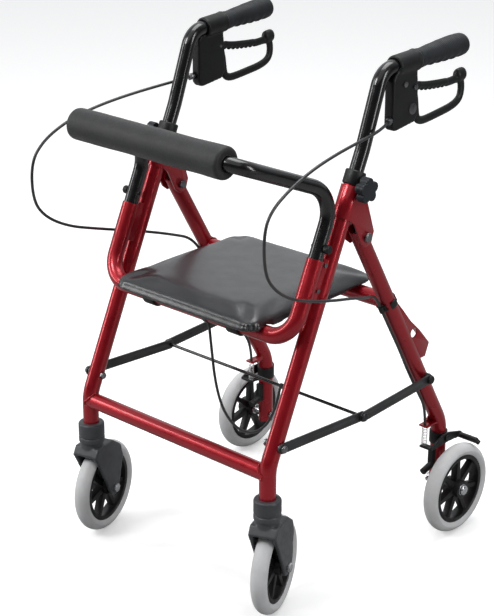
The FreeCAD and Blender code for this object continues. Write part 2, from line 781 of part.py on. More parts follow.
grip_axis = Vector(sin(grip_splay) * cos(grip_rise), cos(grip_splay) * cos(grip_rise), sin(grip_rise))


def along_grip(distance):
    return handle_corner() + grip_axis * distance


def handle_points():
    return [
        Vector(half_track_legs, front_leg_y(handle_foot_z), handle_foot_z),
        Vector(half_track_legs, front_leg_y(handle_turn_z), handle_turn_z),
        handle_corner(),
        along_grip(housing_start + housing_length + ring_length + grip_length - 6),
    ]


def handle_radii():
    return [120.0, handle_corner_r]


def handle_tube():
    return tube_along(handle_points(), handle_radii(), slide_r - run_fit, slide_r - slide_wall)


def hand_grip():
    """Moulded grip: swelling body, flared end and finger ribs underneath."""
    start = housing_start + housing_length + ring_length
    profile = [
        (0, grip_d / 2 - 0.5), (0.12, grip_d / 2 - 1.5), (0.45, grip_d / 2 + 1.0),
        (0.75, grip_d / 2 - 0.6), (0.93, grip_d / 2 + 2.4), (1.0, grip_d / 2 - 3.0),
    ]
    points = [Vector(radius, 0, share * grip_length) for share, radius in profile]
    curve = Part.BSplineCurve()
    curve.interpolate(points)
    outer = curve.toShape()
    top = Part.makeLine(points[-1], Vector(0, 0, grip_length))
    axis = Part.makeLine(Vector(0, 0, grip_length), Vector(0, 0, 0))
    base = Part.makeLine(Vector(0, 0, 0), points[0])
    body = Part.Face(Part.Wire([outer, top, axis, base])).revolve(Vector(0, 0, 0), Z_AXIS, 360)
    for k in range(4):
        groove_z = grip_length * (0.24 + 0.15 * k)
        groove = Part.makeCylinder(9.0, 60, Vector(-30, -(grip_d / 2 + 6.6), groove_z), X_AXIS)
        body = body.cut(groove)
    bore = Part.makeCylinder(slide_r, grip_length - 5.0, Vector(0, 0, -1))
    body = body.cut(bore)
    turn = FreeCAD.Rotation(Vector(0, 0, 1), grip_axis)
    upright = FreeCAD.Rotation(Z_AXIS, 180)
    body.Placement = FreeCAD.Placement(along_grip(start), turn.multiply(upright))
    return body


def lever_pivot():
    corner = handle_corner()
    return corner.y + lever_pivot_along, corner.z - lever_pivot_drop


def lever_x():
    return half_track_legs + lever_plane_offset + lever_pivot_along * tan(grip_splay)


def brake_housing():
    """Clamp sleeve on the handle tube with a body plate under it, slotted for the lever."""
    sleeve = cylinder(along_grip(housing_start), along_grip(housing_start + housing_length), housing_d / 2)
    pivot_y, pivot_z = lever_pivot()
    half = housing_body_width / 2
    x = lever_x()
    body_outline = [
        (pivot_y - 50, pivot_z + 16), (pivot_y - 38, pivot_z + 34), (pivot_y + 4, pivot_z + 34),
        (pivot_y + 7, pivot_z + 6), (pivot_y + 9, pivot_z - 42), (pivot_y + 1, pivot_z - 53),
        (pivot_y - 44, pivot_z - 59), (pivot_y - 50, pivot_z - 52),
    ]
    body = side_prism(body_outline, x - half, x + half)
    long_edges = [e for e in body.Edges if abs(e.tangentAt(e.FirstParameter).x) > 0.9]
    body = body.makeFillet(3.5, long_edges)
    slot_half = lever_thickness / 2 + lever_slot_gap
    slot = side_prism(
        [(pivot_y - 13, pivot_z - 62), (pivot_y - 13, pivot_z + 9), (pivot_y + 20, pivot_z + 12),
         (pivot_y + 20, pivot_z - 62)],
        x - slot_half, x + slot_half,
    )
    ring_part = cylinder(
        along_grip(housing_start + housing_length), along_grip(housing_start + housing_length + ring_length), 16.5
    )
    blank = sleeve.fuse([body, ring_part]).cut(slot)
    blank = blank.cut(rod_along(handle_points(), handle_radii(), slide_r))
    blank = blank.cut(x_cylinder(0, 2 * half_track_legs, pivot_y, pivot_z, lever_pin_r))
    barrel_start, barrel_end = barrel_line()
    return blank.cut(cylinder(barrel_start, barrel_end, 3.2))


def barrel_line():
    """Centreline of the cable adjuster, from inside the housing outwards."""
    pivot_y, pivot_z = lever_pivot()
    x = lever_x()
    inner = Vector(x, pivot_y - 40, pivot_z - 40)
    outer = Vector(x + 6.5, pivot_y - 60, pivot_z - 43)
    return inner, outer


def lever_fittings():
    """Screws, the lever's pin, the blank badge and the cable barrel of one brake lever."""
    pivot_y, pivot_z = lever_pivot()
    x = lever_x()
    half = housing_body_width / 2
    pin = x_cylinder(x - half, x + half + 1, pivot_y, pivot_z, lever_pin_r)
    heads = [pin.fuse(x_cylinder(x + half, x + half + 2.4, pivot_y, pivot_z, 4.4))]
    heads.append(x_cylinder(x + half, x + half + 2.4, pivot_y - 24, pivot_z + 8, 4.4))
    badge = x_cylinder(x + half, x + half + 1.4, pivot_y - 5, pivot_z - 32, 8.5)
    inner, outer = barrel_line()
    barrel = cylinder(inner, outer, 3.2)
    tip = (outer - inner).normalize()
    nut = cylinder(outer - tip * 9, outer, 5.2).cut(side_prism(
        [(pivot_y - 50, pivot_z - 90), (pivot_y - 50, pivot_z + 30), (pivot_y, pivot_z + 30), (pivot_y, pivot_z - 90)],
        x - 20, x + 20))
    barrel = barrel.fuse(nut)
    return group(heads + [badge, barrel])


def brake_lever():
    """Closed loop lever: finger-scalloped upper bar, knob at the tip, curved lower bar."""
    pivot_y, pivot_z = lever_pivot()
    x = lever_x()
    half = lever_thickness / 2
    outer = [
        (-7, 5), (6, 8), (40, -2), (100, -7), (112, 1), (128, 1), (133, -5), (131, -18),
        (127, -24), (126, -40), (118, -50), (98, -56), (60, -62), (34, -66), (19, -60), (14, -46), (10, -10), (-5, -8),
    ]
    outline = [(pivot_y + dy, pivot_z + dz) for dy, dz in outer]
    blank = side_prism(outline, x - half, x + half)
    inner = [
        (22, -14), (40, -15), (98, -19), (112, -22), (114, -36), (104, -43), (86, -45), (60, -48), (30, -54), (22, -48),
    ]
    window = side_prism([(pivot_y + dy, pivot_z + dz) for dy, dz in inner], x - half - 1, x + half + 1)
    lever = blank.cut(window)
    for k in range(4):
        scallop = x_cylinder(x - half - 1, x + half + 1, pivot_y + 38 + 16 * k, pivot_z - 20.5 - 1.1 * k, 7.0)
        lever = lever.cut(scallop)
    knob = x_cylinder(x - half - 2.5, x + half + 2.5, pivot_y + 122, pivot_z - 8, 9.0)
    lever = lever.fuse(knob)
    return lever.cut(x_cylinder(0, 2 * half_track_legs, pivot_y, pivot_z, lever_pin_r + run_fit))


def star_knob():
    """Five-lobed clamp knob with its screw through the leg's wall."""
    y = front_leg_y(star_knob_z)
    z = star_knob_z
    hub_face = half_track_legs + collar_d / 2 + 0.8
    face = hub_face + 4.0
    lobes = 5
    lobe_r = 7.5
    centre_r = star_knob_d / 2 - lobe_r
    pieces = [x_cylinder(face, face + star_knob_thickness, y, z, centre_r)]
    for k in range(lobes):
        angle = 2 * pi * k / lobes + pi / 2
        lobe_y = y + centre_r * cos(angle)
        lobe_z = z + centre_r * sin(angle)
        pieces.append(x_cylinder(face, face + star_knob_thickness, lobe_y, lobe_z, lobe_r))
    screw = x_cylinder(half_track_legs + slide_r + 0.2, face + 2, y, z, star_screw_r)
    hub = x_cylinder(hub_face, face + 1, y, z, 9.0)
    return pieces[0].fuse(pieces[1:] + [screw, hub]).removeSplitter()


# ---- casters and wheels ---------------------------------------------------------------------------
def turned_caster(shape, angle):
    """Turn a caster piece, drawn trailing straight back, about its stem."""
    turned = shape.copy()
    turned.rotate(Vector(half_track_legs, front_foot_y, 0), Z_AXIS, angle * 180 / pi)
    return turned


def caster_fork():
    x = half_track_legs
    y = front_foot_y
    neck = Part.makeCylinder(17.5, socket_bottom_z - 0.4 - crown_bottom_z, Vector(x, y, crown_bottom_z))
    outline = [
        (-24, 150), (-15, crown_top_z), (30, crown_top_z - 1), (52, 146), (58, 124), (46, 84), (40, 66), (30, 62),
        (20, 66), (6, 96), (-12, 130),
    ]
    inner = fork_gap
    outer = fork_gap + fork_plate
    plates = []
    for side in (-1, 1):
        x0, x1 = sorted((x + side * inner, x + side * outer))
        plate = side_prism([(y + s, z) for s, z in outline], x0, x1)
        plates.append(plate)
    crown = side_prism(
        [(y - 24, 150), (y - 15, crown_top_z), (y + 30, crown_top_z - 1), (y + 38, 156),
         (y + 18, crown_bottom_z), (y - 8, crown_bottom_z - 1), (y - 17, 146)],
        x - outer, x + outer,
    )
    fork = neck.fuse(plates + [crown]).removeSplitter()
    fork = fork.cut(Part.makeCylinder(stem_r, 60, Vector(x, y, crown_bottom_z - 20)))
    fork = fork.cut(x_cylinder(x - 40, x + 40, y + caster_trail, wheel_r, axle_r))
    clear_r = wheel_r + 2.0
    wheel_space = x_cylinder(x - inner, x + inner, y + caster_trail, wheel_r, clear_r)
    return fork.cut(wheel_space)


def caster_bolts():
    """Stem, axle bolt, nut and wheel bearings of one caster."""
    x = half_track_legs
    y = front_foot_y
    axle_y = y + caster_trail
    face = fork_gap + fork_plate
    stem = Part.makeCylinder(stem_r, leg_foot_z + 20 - crown_bottom_z, Vector(x, y, crown_bottom_z))
    bolt = x_cylinder(x - face - 4, x + face + 4, axle_y, wheel_r, axle_r)
    heads = [hex_head(x + face, x + face + 5.5, axle_y, wheel_r, 13.0), hex_head(x - face - 5.5, x - face, axle_y, wheel_r, 13.0)]
    for side in (-1, 1):
        x0, x1 = sorted((x + side * hub_length / 2, x + side * fork_gap))
        heads.append(x_cylinder(x0, x1, axle_y, wheel_r, 6.5))
    axle = bolt.fuse(heads + wheel_bearings(x, axle_y)).removeSplitter()
    return group([stem, axle])


def rim(centre_x, y):
    """Moulded wheel centre: tyre seat band, hub and spokes."""
    half_band = rim_width / 2
    band = ring(
        Vector(centre_x - half_band, y, wheel_r), Vector(centre_x + half_band, y, wheel_r),
        rim_outer_r, rim_outer_r - rim_band,
    )
    hub = x_cylinder(centre_x - hub_length / 2, centre_x + hub_length / 2, y, wheel_r, hub_r)
    spoke_half = 6.0
    pieces = [hub]
    for k in range(spoke_count):
        angle = 360.0 * k / spoke_count
        spoke = side_prism(
            [(y - 5.5, wheel_r + hub_r - 3), (y - 3.2, wheel_r + rim_outer_r - rim_band + 1),
             (y + 3.2, wheel_r + rim_outer_r - rim_band + 1), (y + 5.5, wheel_r + hub_r - 3)],
            centre_x - spoke_half, centre_x + spoke_half,
        )
        spoke.rotate(Vector(centre_x, y, wheel_r), X_AXIS, angle)
        pieces.append(spoke)
    wheel = band.fuse(pieces).removeSplitter()
    inner = hub_length / 2 - bearing_length
    wheel = wheel.cut(x_cylinder(centre_x - inner - 1, centre_x + inner + 1, y, wheel_r, axle_r + 1.5))
    for side in (-1, 1):
        x0, x1 = sorted((centre_x + side * (inner - run_fit), centre_x + side * (hub_length / 2 + 1)))
        wheel = wheel.cut(x_cylinder(x0, x1, y, wheel_r, bearing_r))
    return wheel


def tyre(centre_x, y):
    """Solid tyre with a rounded tread."""
    half = tyre_width / 2
    seat_half = rim_width / 2
    shoulder_r = wheel_r - 7.5
    points = [
        Vector(-seat_half, 0, rim_outer_r), Vector(-half + 1.5, 0, rim_outer_r + 3), Vector(-half, 0, shoulder_r - 3),
    ]
    crown = Part.Arc(points[-1], Vector(0, 0, wheel_r), Vector(half, 0, shoulder_r - 3)).toShape()
    edges = [
        Part.makeLine(points[0], points[1]), Part.makeLine(points[1], points[2]), crown,
        Part.makeLine(Vector(half, 0, shoulder_r - 3), Vector(half - 1.5, 0, rim_outer_r + 3)),
        Part.makeLine(Vector(half - 1.5, 0, rim_outer_r + 3), Vector(seat_half, 0, rim_outer_r)),
        Part.makeLine(Vector(seat_half, 0, rim_outer_r), points[0]),
    ]
    solid = Part.Face(Part.Wire(edges)).revolve(Vector(0, 0, 0), X_AXIS, 360)
    solid.translate(Vector(centre_x, y, wheel_r))
    return solid


# ---- cables and strap -----------------------------------------------------------------------------
def cable_radii(points):
    """Each arc is as large as its two runs allow."""
    radii = []
    for before, corner, after in zip(points, points[1:], points[2:]):
        shorter = min((corner - before).Length, (after - corner).Length)
        turn = pi - (before - corner).getAngle(after - corner)
        radii.append(arc_share * shorter / tan(turn / 2))
    return radii


def cable(points, radius):
    vectors = [Vector(*p) for p in points]
    return rod_along(vectors, cable_radii(vectors), radius)


def clip_line(z):
    """Point of the cable's straight line in front of the right rear leg."""
    clip_y = rear_leg_y(cable_clip_z) - cos(rear_lean) * (leg_r + 4.4)
    clip_height = cable_clip_z - sin(rear_lean) * (leg_r + 4.4)
    return clip_y + (clip_height - z) * tan(rear_lean)


def cable_lead(side, distance):
    """Point on the cable adjuster's axis, at a distance outside its mouth."""
    inner, outer = barrel_line()
    point = outer + (outer - inner).normalize() * distance
    return side * point.x, point.y, point.z


def upper_cable_right():
    return [
        cable_lead(1, 0.05), cable_lead(1, 30), (216, -52, 715), (219, -105, 709), (221, -157, 699), (223, -206, 683),
        (224, -245, 662), (224, -261, 636), (224, -261, 610),
    ]


def upper_cable_left():
    return [
        cable_lead(-1, 0.05), cable_lead(-1, 30), (-218, -54, 716), (-224, -108, 711), (-230, -161, 703), (-235, -209, 690),
        (-239, -250, 669), (-240, -275, 640), (-240, -275, 610),
    ]


def leg_run(side):
    """The cable's stretch down the front of a rear leg, from above the clip to the brake tab."""
    x = side * half_track_legs
    tab_y = rear_foot_y - brake_arm_front
    return [
        (x, clip_line(455), 455), (x, clip_line(400), 400), (x + side * 1.5, clip_line(350), 350),
        (x - side * 1.0, clip_line(301), 301), (x + side * 1.0, clip_line(256), 256),
        (x, tab_y - 1, 221), (x, tab_y, brake_tab_z),
    ]


def lower_cable_right():
    loop = [
        (224, -261, 610), (224, -261, 578), (223, -241, 546), (222, -203, 520), (221, -152, 502),
        (219, -101, 489), (215, -58, 479), (208, -16, 466),
    ]
    return loop + leg_run(1)


def lower_cable_left():
    loop = [
        (-240, -275, 610), (-240, -275, 580), (-238, -254, 549), (-233, -213, 525), (-228, -160, 509),
        (-221, -108, 495), (-215, -61, 482), (-208, -16, 468),
    ]
    return loop + leg_run(-1)


def strap_loop(x, y, z, inner_r, outer_r):
    return ring(Vector(x - strap_loop_half, y, z), Vector(x + strap_loop_half, y, z), outer_r, inner_r)


def pull_strap():
    """Woven cord looped round the front tube, hanging slack, and looped round the centre rod."""
    top_x = strap_top_x
    rod_x = strap_rod_x
    route = [
        (top_x, seat_tube_y - 2, seat_tube_z - cross_tube_d / 2 - 0.7), (31.2, -166, 376), (33, -160.5, 322),
        (35.5, -147, 272), (38.5, -119, 231), (41.5, -84, 211.5), (43.5, -54, 217), (44.6, -34, 243),
        (rod_x, spreader_centre_y - 5.2, spreader_centre_z - 2),
    ]
    hanging = cable(route, strap_r)
    tube_loop = strap_loop(top_x, seat_tube_y, seat_tube_z, cross_tube_d / 2 + 0.1, cross_tube_d / 2 + 1.9)
    rod_loop = strap_loop(rod_x, spreader_centre_y, spreader_centre_z, centre_rod_r + 0.1, centre_rod_r + 2.0)
    under_board = box(0, 2 * top_x, seat_tube_y - 40, seat_tube_y + 40, seat_tube_top - 0.5, seat_tube_top + 40)
    return hanging.fuse([tube_loop.cut(under_board), rod_loop])


# ---- assembly -------------------------------------------------------------------------------------
def pair(name, shape):
    return {name + "_r": shape, name + "_l": mirrored(shape)}


def build_parts():
    parts = {}
    parts.update(pair("front_leg", front_leg()))
    parts["front_crossbar"] = front_crossbar()
    parts["seat_front_tube"] = seat_front_tube()
    parts["pivot_brackets"] = both_sides(pivot_bracket())
    parts["sleeve_gussets"] = both_sides(sleeve_gusset())
    parts["leg_collars"] = both_sides(leg_collar())
    parts["front_frame_bolts"] = front_frame_bolts()
    parts["caster_sockets"] = both_sides(caster_socket())

    parts.update(pair("rear_leg", rear_leg()))
    parts["rear_cross_tube"] = rear_cross_tube()
    parts["rear_gussets"] = both_sides(rear_gusset())
    parts["rear_frame_fixings"] = rear_frame_fixings()
    parts["brake_tabs"] = both_sides(brake_tab())
    parts["rear_axles"] = both_sides(rear_axle())
    parts.update(pair("brake_arm", brake_arm()))
    parts.update(pair("brake_spring", brake_spring()))

    parts["spreader_front_bars"] = both_sides(spreader_front_bar())
    parts["spreader_rear_bars"] = both_sides(spreader_rear_bar())
    parts["spreader_rod"] = centre_rod()
    parts["spreader_centre_bolts"] = both_sides(spreader_centre_bolt())
    parts["pull_strap"] = pull_strap()

    parts["seat_board"] = seat_board()
    parts["seat_pad"] = seat_pad()
    parts["seat_clips"] = both_sides(seat_clip(clip_x))

    parts["backrest_tube"] = backrest_tube()
    parts["backrest_foam"] = backrest_foam()
    parts.update(pair("backrest_knob", backrest_knob()))

    parts.update(pair("handle_tube", handle_tube()))
    parts.update(pair("hand_grip", hand_grip()))
    parts.update(pair("brake_housing", brake_housing()))
    parts.update(pair("lever_fittings", lever_fittings()))
    parts.update(pair("brake_lever", brake_lever()))
    parts.update(pair("star_knob", star_knob()))

    parts["upper_cable_r"] = cable(upper_cable_right(), cable_r)
    parts["upper_cable_l"] = cable(upper_cable_left(), cable_r)
    parts["lower_cable_r"] = cable(lower_cable_right(), cable_r)
    parts["lower_cable_l"] = cable(lower_cable_left(), cable_r)

    caster_y = front_foot_y + caster_trail
    right = {
        "caster_fork_r": caster_fork(),
        "caster_bolts_r": caster_bolts(),
        "rim_fr": rim(half_track_legs, caster_y),
        "tyre_fr": tyre(half_track_legs, caster_y),
    }
    for name, shape in right.items():
        parts[name] = turned_caster(shape, caster_rest_right)
        left_name = name[:-1] + "l"
        parts[left_name] = mirrored(turned_caster(shape, -caster_rest_left))
    for name, shape in (("rim_r", rim(half_track_rear, rear_foot_y)), ("tyre_r", tyre(half_track_rear, rear_foot_y))):
        parts[name + "r"] = shape
        parts[name + "l"] = mirrored(shape)
    return parts


def main():
    os.makedirs("parts", exist_ok=True)
    for name, shape in build_parts().items():
        shape.exportStep(f"parts/{name}.step")
        print(f"{name:24s} solids {len(shape.Solids):2d}  volume {shape.Volume / 1000:9.2f} cm3  {shape.isValid()}")


main()
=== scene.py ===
"""Looks of a folding rollator walker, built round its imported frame.

Metres. +Z up, casters at -Y, grips at +Y. Every piece sits where the frame's own boxes say.
"""

import json
import math

import bmesh
import bpy
from mathutils import Matrix, Vector, noise

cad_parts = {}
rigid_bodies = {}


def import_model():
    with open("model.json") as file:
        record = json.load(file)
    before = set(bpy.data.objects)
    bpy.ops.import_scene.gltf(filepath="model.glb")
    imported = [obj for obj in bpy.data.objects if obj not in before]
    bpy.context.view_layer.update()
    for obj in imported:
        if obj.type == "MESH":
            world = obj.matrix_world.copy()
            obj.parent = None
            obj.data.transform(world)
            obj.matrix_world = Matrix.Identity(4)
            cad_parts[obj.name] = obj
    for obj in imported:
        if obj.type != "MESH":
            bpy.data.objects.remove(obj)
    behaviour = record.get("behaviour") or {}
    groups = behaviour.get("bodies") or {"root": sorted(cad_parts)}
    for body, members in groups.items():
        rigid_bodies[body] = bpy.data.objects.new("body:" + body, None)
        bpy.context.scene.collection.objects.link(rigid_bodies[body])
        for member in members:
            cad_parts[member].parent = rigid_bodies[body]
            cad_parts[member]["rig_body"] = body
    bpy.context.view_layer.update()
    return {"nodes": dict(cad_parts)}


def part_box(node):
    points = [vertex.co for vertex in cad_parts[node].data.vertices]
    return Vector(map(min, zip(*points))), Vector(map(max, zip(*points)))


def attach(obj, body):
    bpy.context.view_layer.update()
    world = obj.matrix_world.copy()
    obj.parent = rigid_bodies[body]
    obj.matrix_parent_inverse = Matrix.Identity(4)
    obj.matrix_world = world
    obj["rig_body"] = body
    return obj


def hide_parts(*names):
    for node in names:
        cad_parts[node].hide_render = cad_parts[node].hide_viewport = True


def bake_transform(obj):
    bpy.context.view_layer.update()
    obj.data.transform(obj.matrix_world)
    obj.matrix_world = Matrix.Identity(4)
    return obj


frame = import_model()
SIDES = (("l", -1), ("r", 1))
mm = 0.001
doubles_apart = 0.00002       # loose triangles of a node closer than this are one point

# ---- sizes repeated from the part's source, in metres ------------------------------------------
cable_r = 0.0023
strap_r = 0.0022
strap_top_x = 0.030
strap_rod_x = 0.045
leg_r = 0.0127
leg_x = 0.192
tube_r = 0.01122               # the sliding handle and backrest tubes
front_lean = math.radians(24.5)
rear_lean = math.radians(30.3)
handle_corner = Vector((0.192, 0.023297, 0.7998))
grip_axis = Vector((0.034838, 0.997632, 0.059306))
grip_from = 0.074
grip_to = 0.184
ring_from = 0.0712
seat_tube = (-0.168368, 0.4367)
crossbar = (-0.216275, 0.243)
rear_tube = (0.05322, 0.4367)
rod_place = (-0.021, 0.274)
pad_corner_r = 0.024
lever_pin = (0.0863, 0.7668)   # y and z, as for the tubes above


# ---- camera ------------------------------------------------------------------------------------
def make_camera():
    azimuth, elevation = math.radians(42.99), math.radians(21.59)
    aim, distance = Vector((0.00283, -0.05749, 0.40645)), 2.61673
    back = Vector((
        math.sin(azimuth) * math.cos(elevation),
        -math.cos(azimuth) * math.cos(elevation),
        math.sin(elevation),
    ))
    data = bpy.data.cameras.new("camera")
    data.sensor_width = 36.0
    data.lens = 98.205
    data.clip_start = 0.05
    data.clip_end = 100.0
    camera = bpy.data.objects.new("camera", data)
    camera.location = aim + back * distance
    camera.rotation_mode = "QUATERNION"
    camera.rotation_quaternion = (-back).to_track_quat("-Z", "Y")
    bpy.context.scene.collection.objects.link(camera)
    bpy.context.scene.camera = camera


# ---- small makers ------------------------------------------------------------------------------
def put(name, mesh, material=None):
    piece = bpy.data.objects.new(name, mesh)
    bpy.context.scene.collection.objects.link(piece)
    if material is not None:
        mesh.materials.clear()
        mesh.materials.append(material)
    return piece


def evaluated_mesh(piece):
    bpy.context.view_layer.update()
    return bpy.data.meshes.new_from_object(piece.evaluated_get(bpy.context.evaluated_depsgraph_get()))


def applied(piece):
    """Makes a piece's live modifiers part of its mesh."""
    made = evaluated_mesh(piece)
    piece.modifiers.clear()
    piece.data = made
    return made


def mesh_from(bm, name):
    mesh = bpy.data.meshes.new(name)
    bm.to_mesh(mesh)
    bm.free()
    return mesh


def merged_copy(node, flat_degrees=None):
    """Copy of a node's mesh with its triangles joined, and its flat faces made whole at a given angle."""
    mesh = frame["nodes"][node].data.copy()
    bm = bmesh.new()
    bm.from_mesh(mesh)
    bmesh.ops.remove_doubles(bm, verts=bm.verts, dist=doubles_apart)
    if flat_degrees is not None:
        bmesh.ops.dissolve_limit(
            bm, angle_limit=math.radians(flat_degrees), verts=bm.verts, edges=bm.edges, delimit={"NORMAL"},
        )
    bm.to_mesh(mesh)
    bm.free()
    return mesh


def smooth(mesh, angle_degrees=40):
    for face in mesh.polygons:
        face.use_smooth = True
    bm = bmesh.new()
    bm.from_mesh(mesh)
    limit = math.radians(angle_degrees)
    for edge in bm.edges:
        if len(edge.link_faces) == 2 and edge.calc_face_angle(0) > limit:
            edge.smooth = False
    bm.to_mesh(mesh)
    bm.free()


def sweep_frames(path):
    """Tangent and two cross directions at each point, carried along without twist."""
    frames = []
    side = None
    for i, point in enumerate(path):
        before = path[max(i - 1, 0)]
        after = path[min(i + 1, len(path) - 1)]
        tangent = (after - before).normalized()
        if side is None:
            start = Vector((0, 0, 1)) if abs(tangent.z) < 0.9 else Vector((1, 0, 0))
            side = (start - tangent * start.dot(tangent)).normalized()
        else:
            side = (side - tangent * side.dot(tangent)).normalized()
        frames.append((point, tangent, side, tangent.cross(side)))
    return frames


def tube_mesh(name, path, radius_at, sides=18):
    """Closed tube along a path. Its UV map runs once round and in metres along."""
    frames = sweep_frames(path)
    along = [0.0]
    for a, b in zip(path, path[1:]):
        along.append(along[-1] + (b - a).length)
    bm = bmesh.new()
    uv = bm.loops.layers.uv.new("along")
    rings = []
    for i, (point, _, across, up) in enumerate(frames):
        ring = []
        for k in range(sides):
            turn = 2 * math.pi * k / sides
            radius = radius_at(along[i] / along[-1], turn)
            ring.append(bm.verts.new(point + (across * math.cos(turn) + up * math.sin(turn)) * radius))
        rings.append(ring)
    for i in range(len(rings) - 1):
        for k in range(sides):
            n = (k + 1) % sides
            face = bm.faces.new((rings[i][k], rings[i][n], rings[i + 1][n], rings[i + 1][k]))
            places = ((k, i), (k + 1, i), (k + 1, i + 1), (k, i + 1))
            for loop, (turn_step, step) in zip(face.loops, places):
                loop[uv].uv = (turn_step / sides, along[step])
    bm.faces.new(list(reversed(rings[0])))
    bm.faces.new(rings[-1])
    bmesh.ops.recalc_face_normals(bm, faces=bm.faces)
    mesh = mesh_from(bm, name)
    smooth(mesh, 50)
    return mesh


def cord_line(name, points):
    """The smooth line of a cord, read from its spline."""
    curve = bpy.data.curves.new(name, "CURVE")
    curve.dimensions = "3D"
    spline = curve.splines.new("NURBS")
    spline.points.add(len(points) - 1)
    for place, point in zip(spline.points, points):
        place.co = (*point, 1.0)
    spline.order_u = 3
    spline.use_endpoint_u = True
    curve.resolution_u = 12
    holder = bpy.data.objects.new(name, curve)
    bpy.context.scene.collection.objects.link(holder)
    mesh = evaluated_mesh(holder)
    line = [v.co.copy() for v in mesh.vertices]
    bpy.data.objects.remove(holder)
    bpy.data.meshes.remove(mesh)
    return line


# ---- shader helpers ----------------------------------------------------------------------------
class Finish:
    """One procedural material: a shader, and the nodes that feed it."""

    def __init__(self, name, roughness=0.5, metallic=0.0, **uniform):
        self.material = bpy.data.materials.new(name)
        self.material.use_nodes = True
        self.tree = self.material.node_tree
        self.shader = self.tree.nodes["Principled BSDF"]
        self.shader.inputs["Roughness"].default_value = roughness
        self.shader.inputs["Metallic"].default_value = metallic
        for socket, value in uniform.items():
            self.shader.inputs[socket.replace("_", " ")].default_value = value
        self.place = self.node("ShaderNodeTexCoord").outputs["Object"]

    def node(self, kind, **settings):
        made = self.tree.nodes.new(kind)
        for key, value in settings.items():
            setattr(made, key, value)
        return made

    def join(self, source, target):
        self.tree.links.new(source, target)

    def mapped(self, scale=(1, 1, 1), turn=(0, 0, 0), source=None):
        mapping = self.node("ShaderNodeMapping")
        mapping.inputs["Scale"].default_value = scale
        mapping.inputs["Rotation"].default_value = turn
        self.join(source or self.place, mapping.inputs["Vector"])
        return mapping.outputs["Vector"]

    def noise(self, scale, detail=3.0, roughness=0.5, source=None):
        made = self.node("ShaderNodeTexNoise")
        made.inputs["Scale"].default_value = scale
        made.inputs["Detail"].default_value = detail
        made.inputs["Roughness"].default_value = roughness
        self.join(source or self.place, made.inputs["Vector"])
        return made.outputs["Fac"]

    def cells(self, scale, feature="F1", source=None, smoothness=0.4):
        made = self.node("ShaderNodeTexVoronoi", feature=feature)
        made.inputs["Scale"].default_value = scale
        if feature == "SMOOTH_F1":
            made.inputs["Smoothness"].default_value = smoothness
        self.join(source or self.place, made.inputs["Vector"])
        return made.outputs["Distance"]

    def ranged(self, value, low, high, from_low=0.3, from_high=0.7):
        made = self.node("ShaderNodeMapRange")
        made.inputs["From Min"].default_value = from_low
        made.inputs["From Max"].default_value = from_high
        made.inputs["To Min"].default_value = low
        made.inputs["To Max"].default_value = high
        self.join(value, made.inputs["Value"])
        return made.outputs["Result"]

    def blend(self, factor, low, high):
        made = self.node("ShaderNodeMix", data_type="RGBA")
        self.join(factor, made.inputs["Factor"])
        for socket, value in (("A", low), ("B", high)):
            target = [s for s in made.inputs if s.name == socket and s.type == "RGBA"][0]
            if isinstance(value, tuple):
                target.default_value = (*value, 1.0)
            else:
                self.join(value, target)
        return [s for s in made.outputs if s.type == "RGBA"][0]

    def colour(self, value):
        if isinstance(value, tuple):
            self.shader.inputs["Base Color"].default_value = (*value, 1.0)
        else:
            self.join(value, self.shader.inputs["Base Color"])

    def rough(self, value):
        self.join(value, self.shader.inputs["Roughness"])

    def bump(self, height, distance, strength=1.0):
        """Adds a relief on top of the ones already there."""
        made = self.node("ShaderNodeBump")
        made.inputs["Strength"].default_value = strength
        made.inputs["Distance"].default_value = distance
        self.join(height, made.inputs["Height"])
        held = self.shader.inputs["Normal"].links
        if held:
            self.join(held[0].from_socket, made.inputs["Normal"])
        self.join(made.outputs["Normal"], self.shader.inputs["Normal"])


def candy_paint():
    f = Finish("candy_red_paint", metallic=0.55, Coat_Weight=0.6, Coat_Roughness=0.09, Coat_IOR=1.4)
    broad = f.noise(9.0, 2.0)
    flakes = f.cells(2600.0)
    deep = f.blend(f.ranged(broad, 0, 1), (0.29, 0.003, 0.010), (0.39, 0.005, 0.015))
    f.colour(f.blend(f.ranged(flakes, 0.0, 0.28, 0.1, 0.6), deep, (0.50, 0.018, 0.028)))
    f.rough(f.ranged(f.noise(60.0, 3.0), 0.26, 0.36))
    f.bump(f.noise(420.0, 2.0), 0.00012, 0.25)
    return f.material


def black_gloss():
    f = Finish("black_gloss_tube", Coat_Weight=0.7, Coat_Roughness=0.12, Specular_IOR_Level=0.35)
    f.colour(f.blend(f.ranged(f.noise(14.0), 0, 1), (0.003, 0.003, 0.0035), (0.007, 0.007, 0.008)))
    f.rough(f.ranged(f.noise(70.0, 4.0), 0.2, 0.3))
    f.bump(f.noise(300.0, 2.0), 0.0001, 0.06)
    return f.material


def moulded(name, low, high, roughness, grain=900.0, depth=0.00012):
    """Moulded plastic with a fine spark-eroded grain, and a little dust in its colour."""
    f = Finish(name, Specular_IOR_Level=0.36)
    f.colour(f.blend(f.ranged(f.noise(26.0, 4.0), 0, 1), low, high))
    f.rough(f.ranged(f.noise(110.0, 3.0), roughness - 0.06, roughness + 0.08))
    f.bump(f.noise(grain, 2.0, 0.6), depth, 0.5)
    return f.material


def metal(name, low, high, roughness, streak=(1, 1, 1)):
    f = Finish(name, metallic=1.0)
    lines = f.noise(240.0, 3.0, source=f.mapped(scale=streak))
    f.colour(f.blend(f.ranged(f.noise(40.0), 0, 1), low, high))
    f.rough(f.ranged(lines, roughness - 0.07, roughness + 0.1))
    f.bump(lines, 0.00005, 0.25)
    return f.material


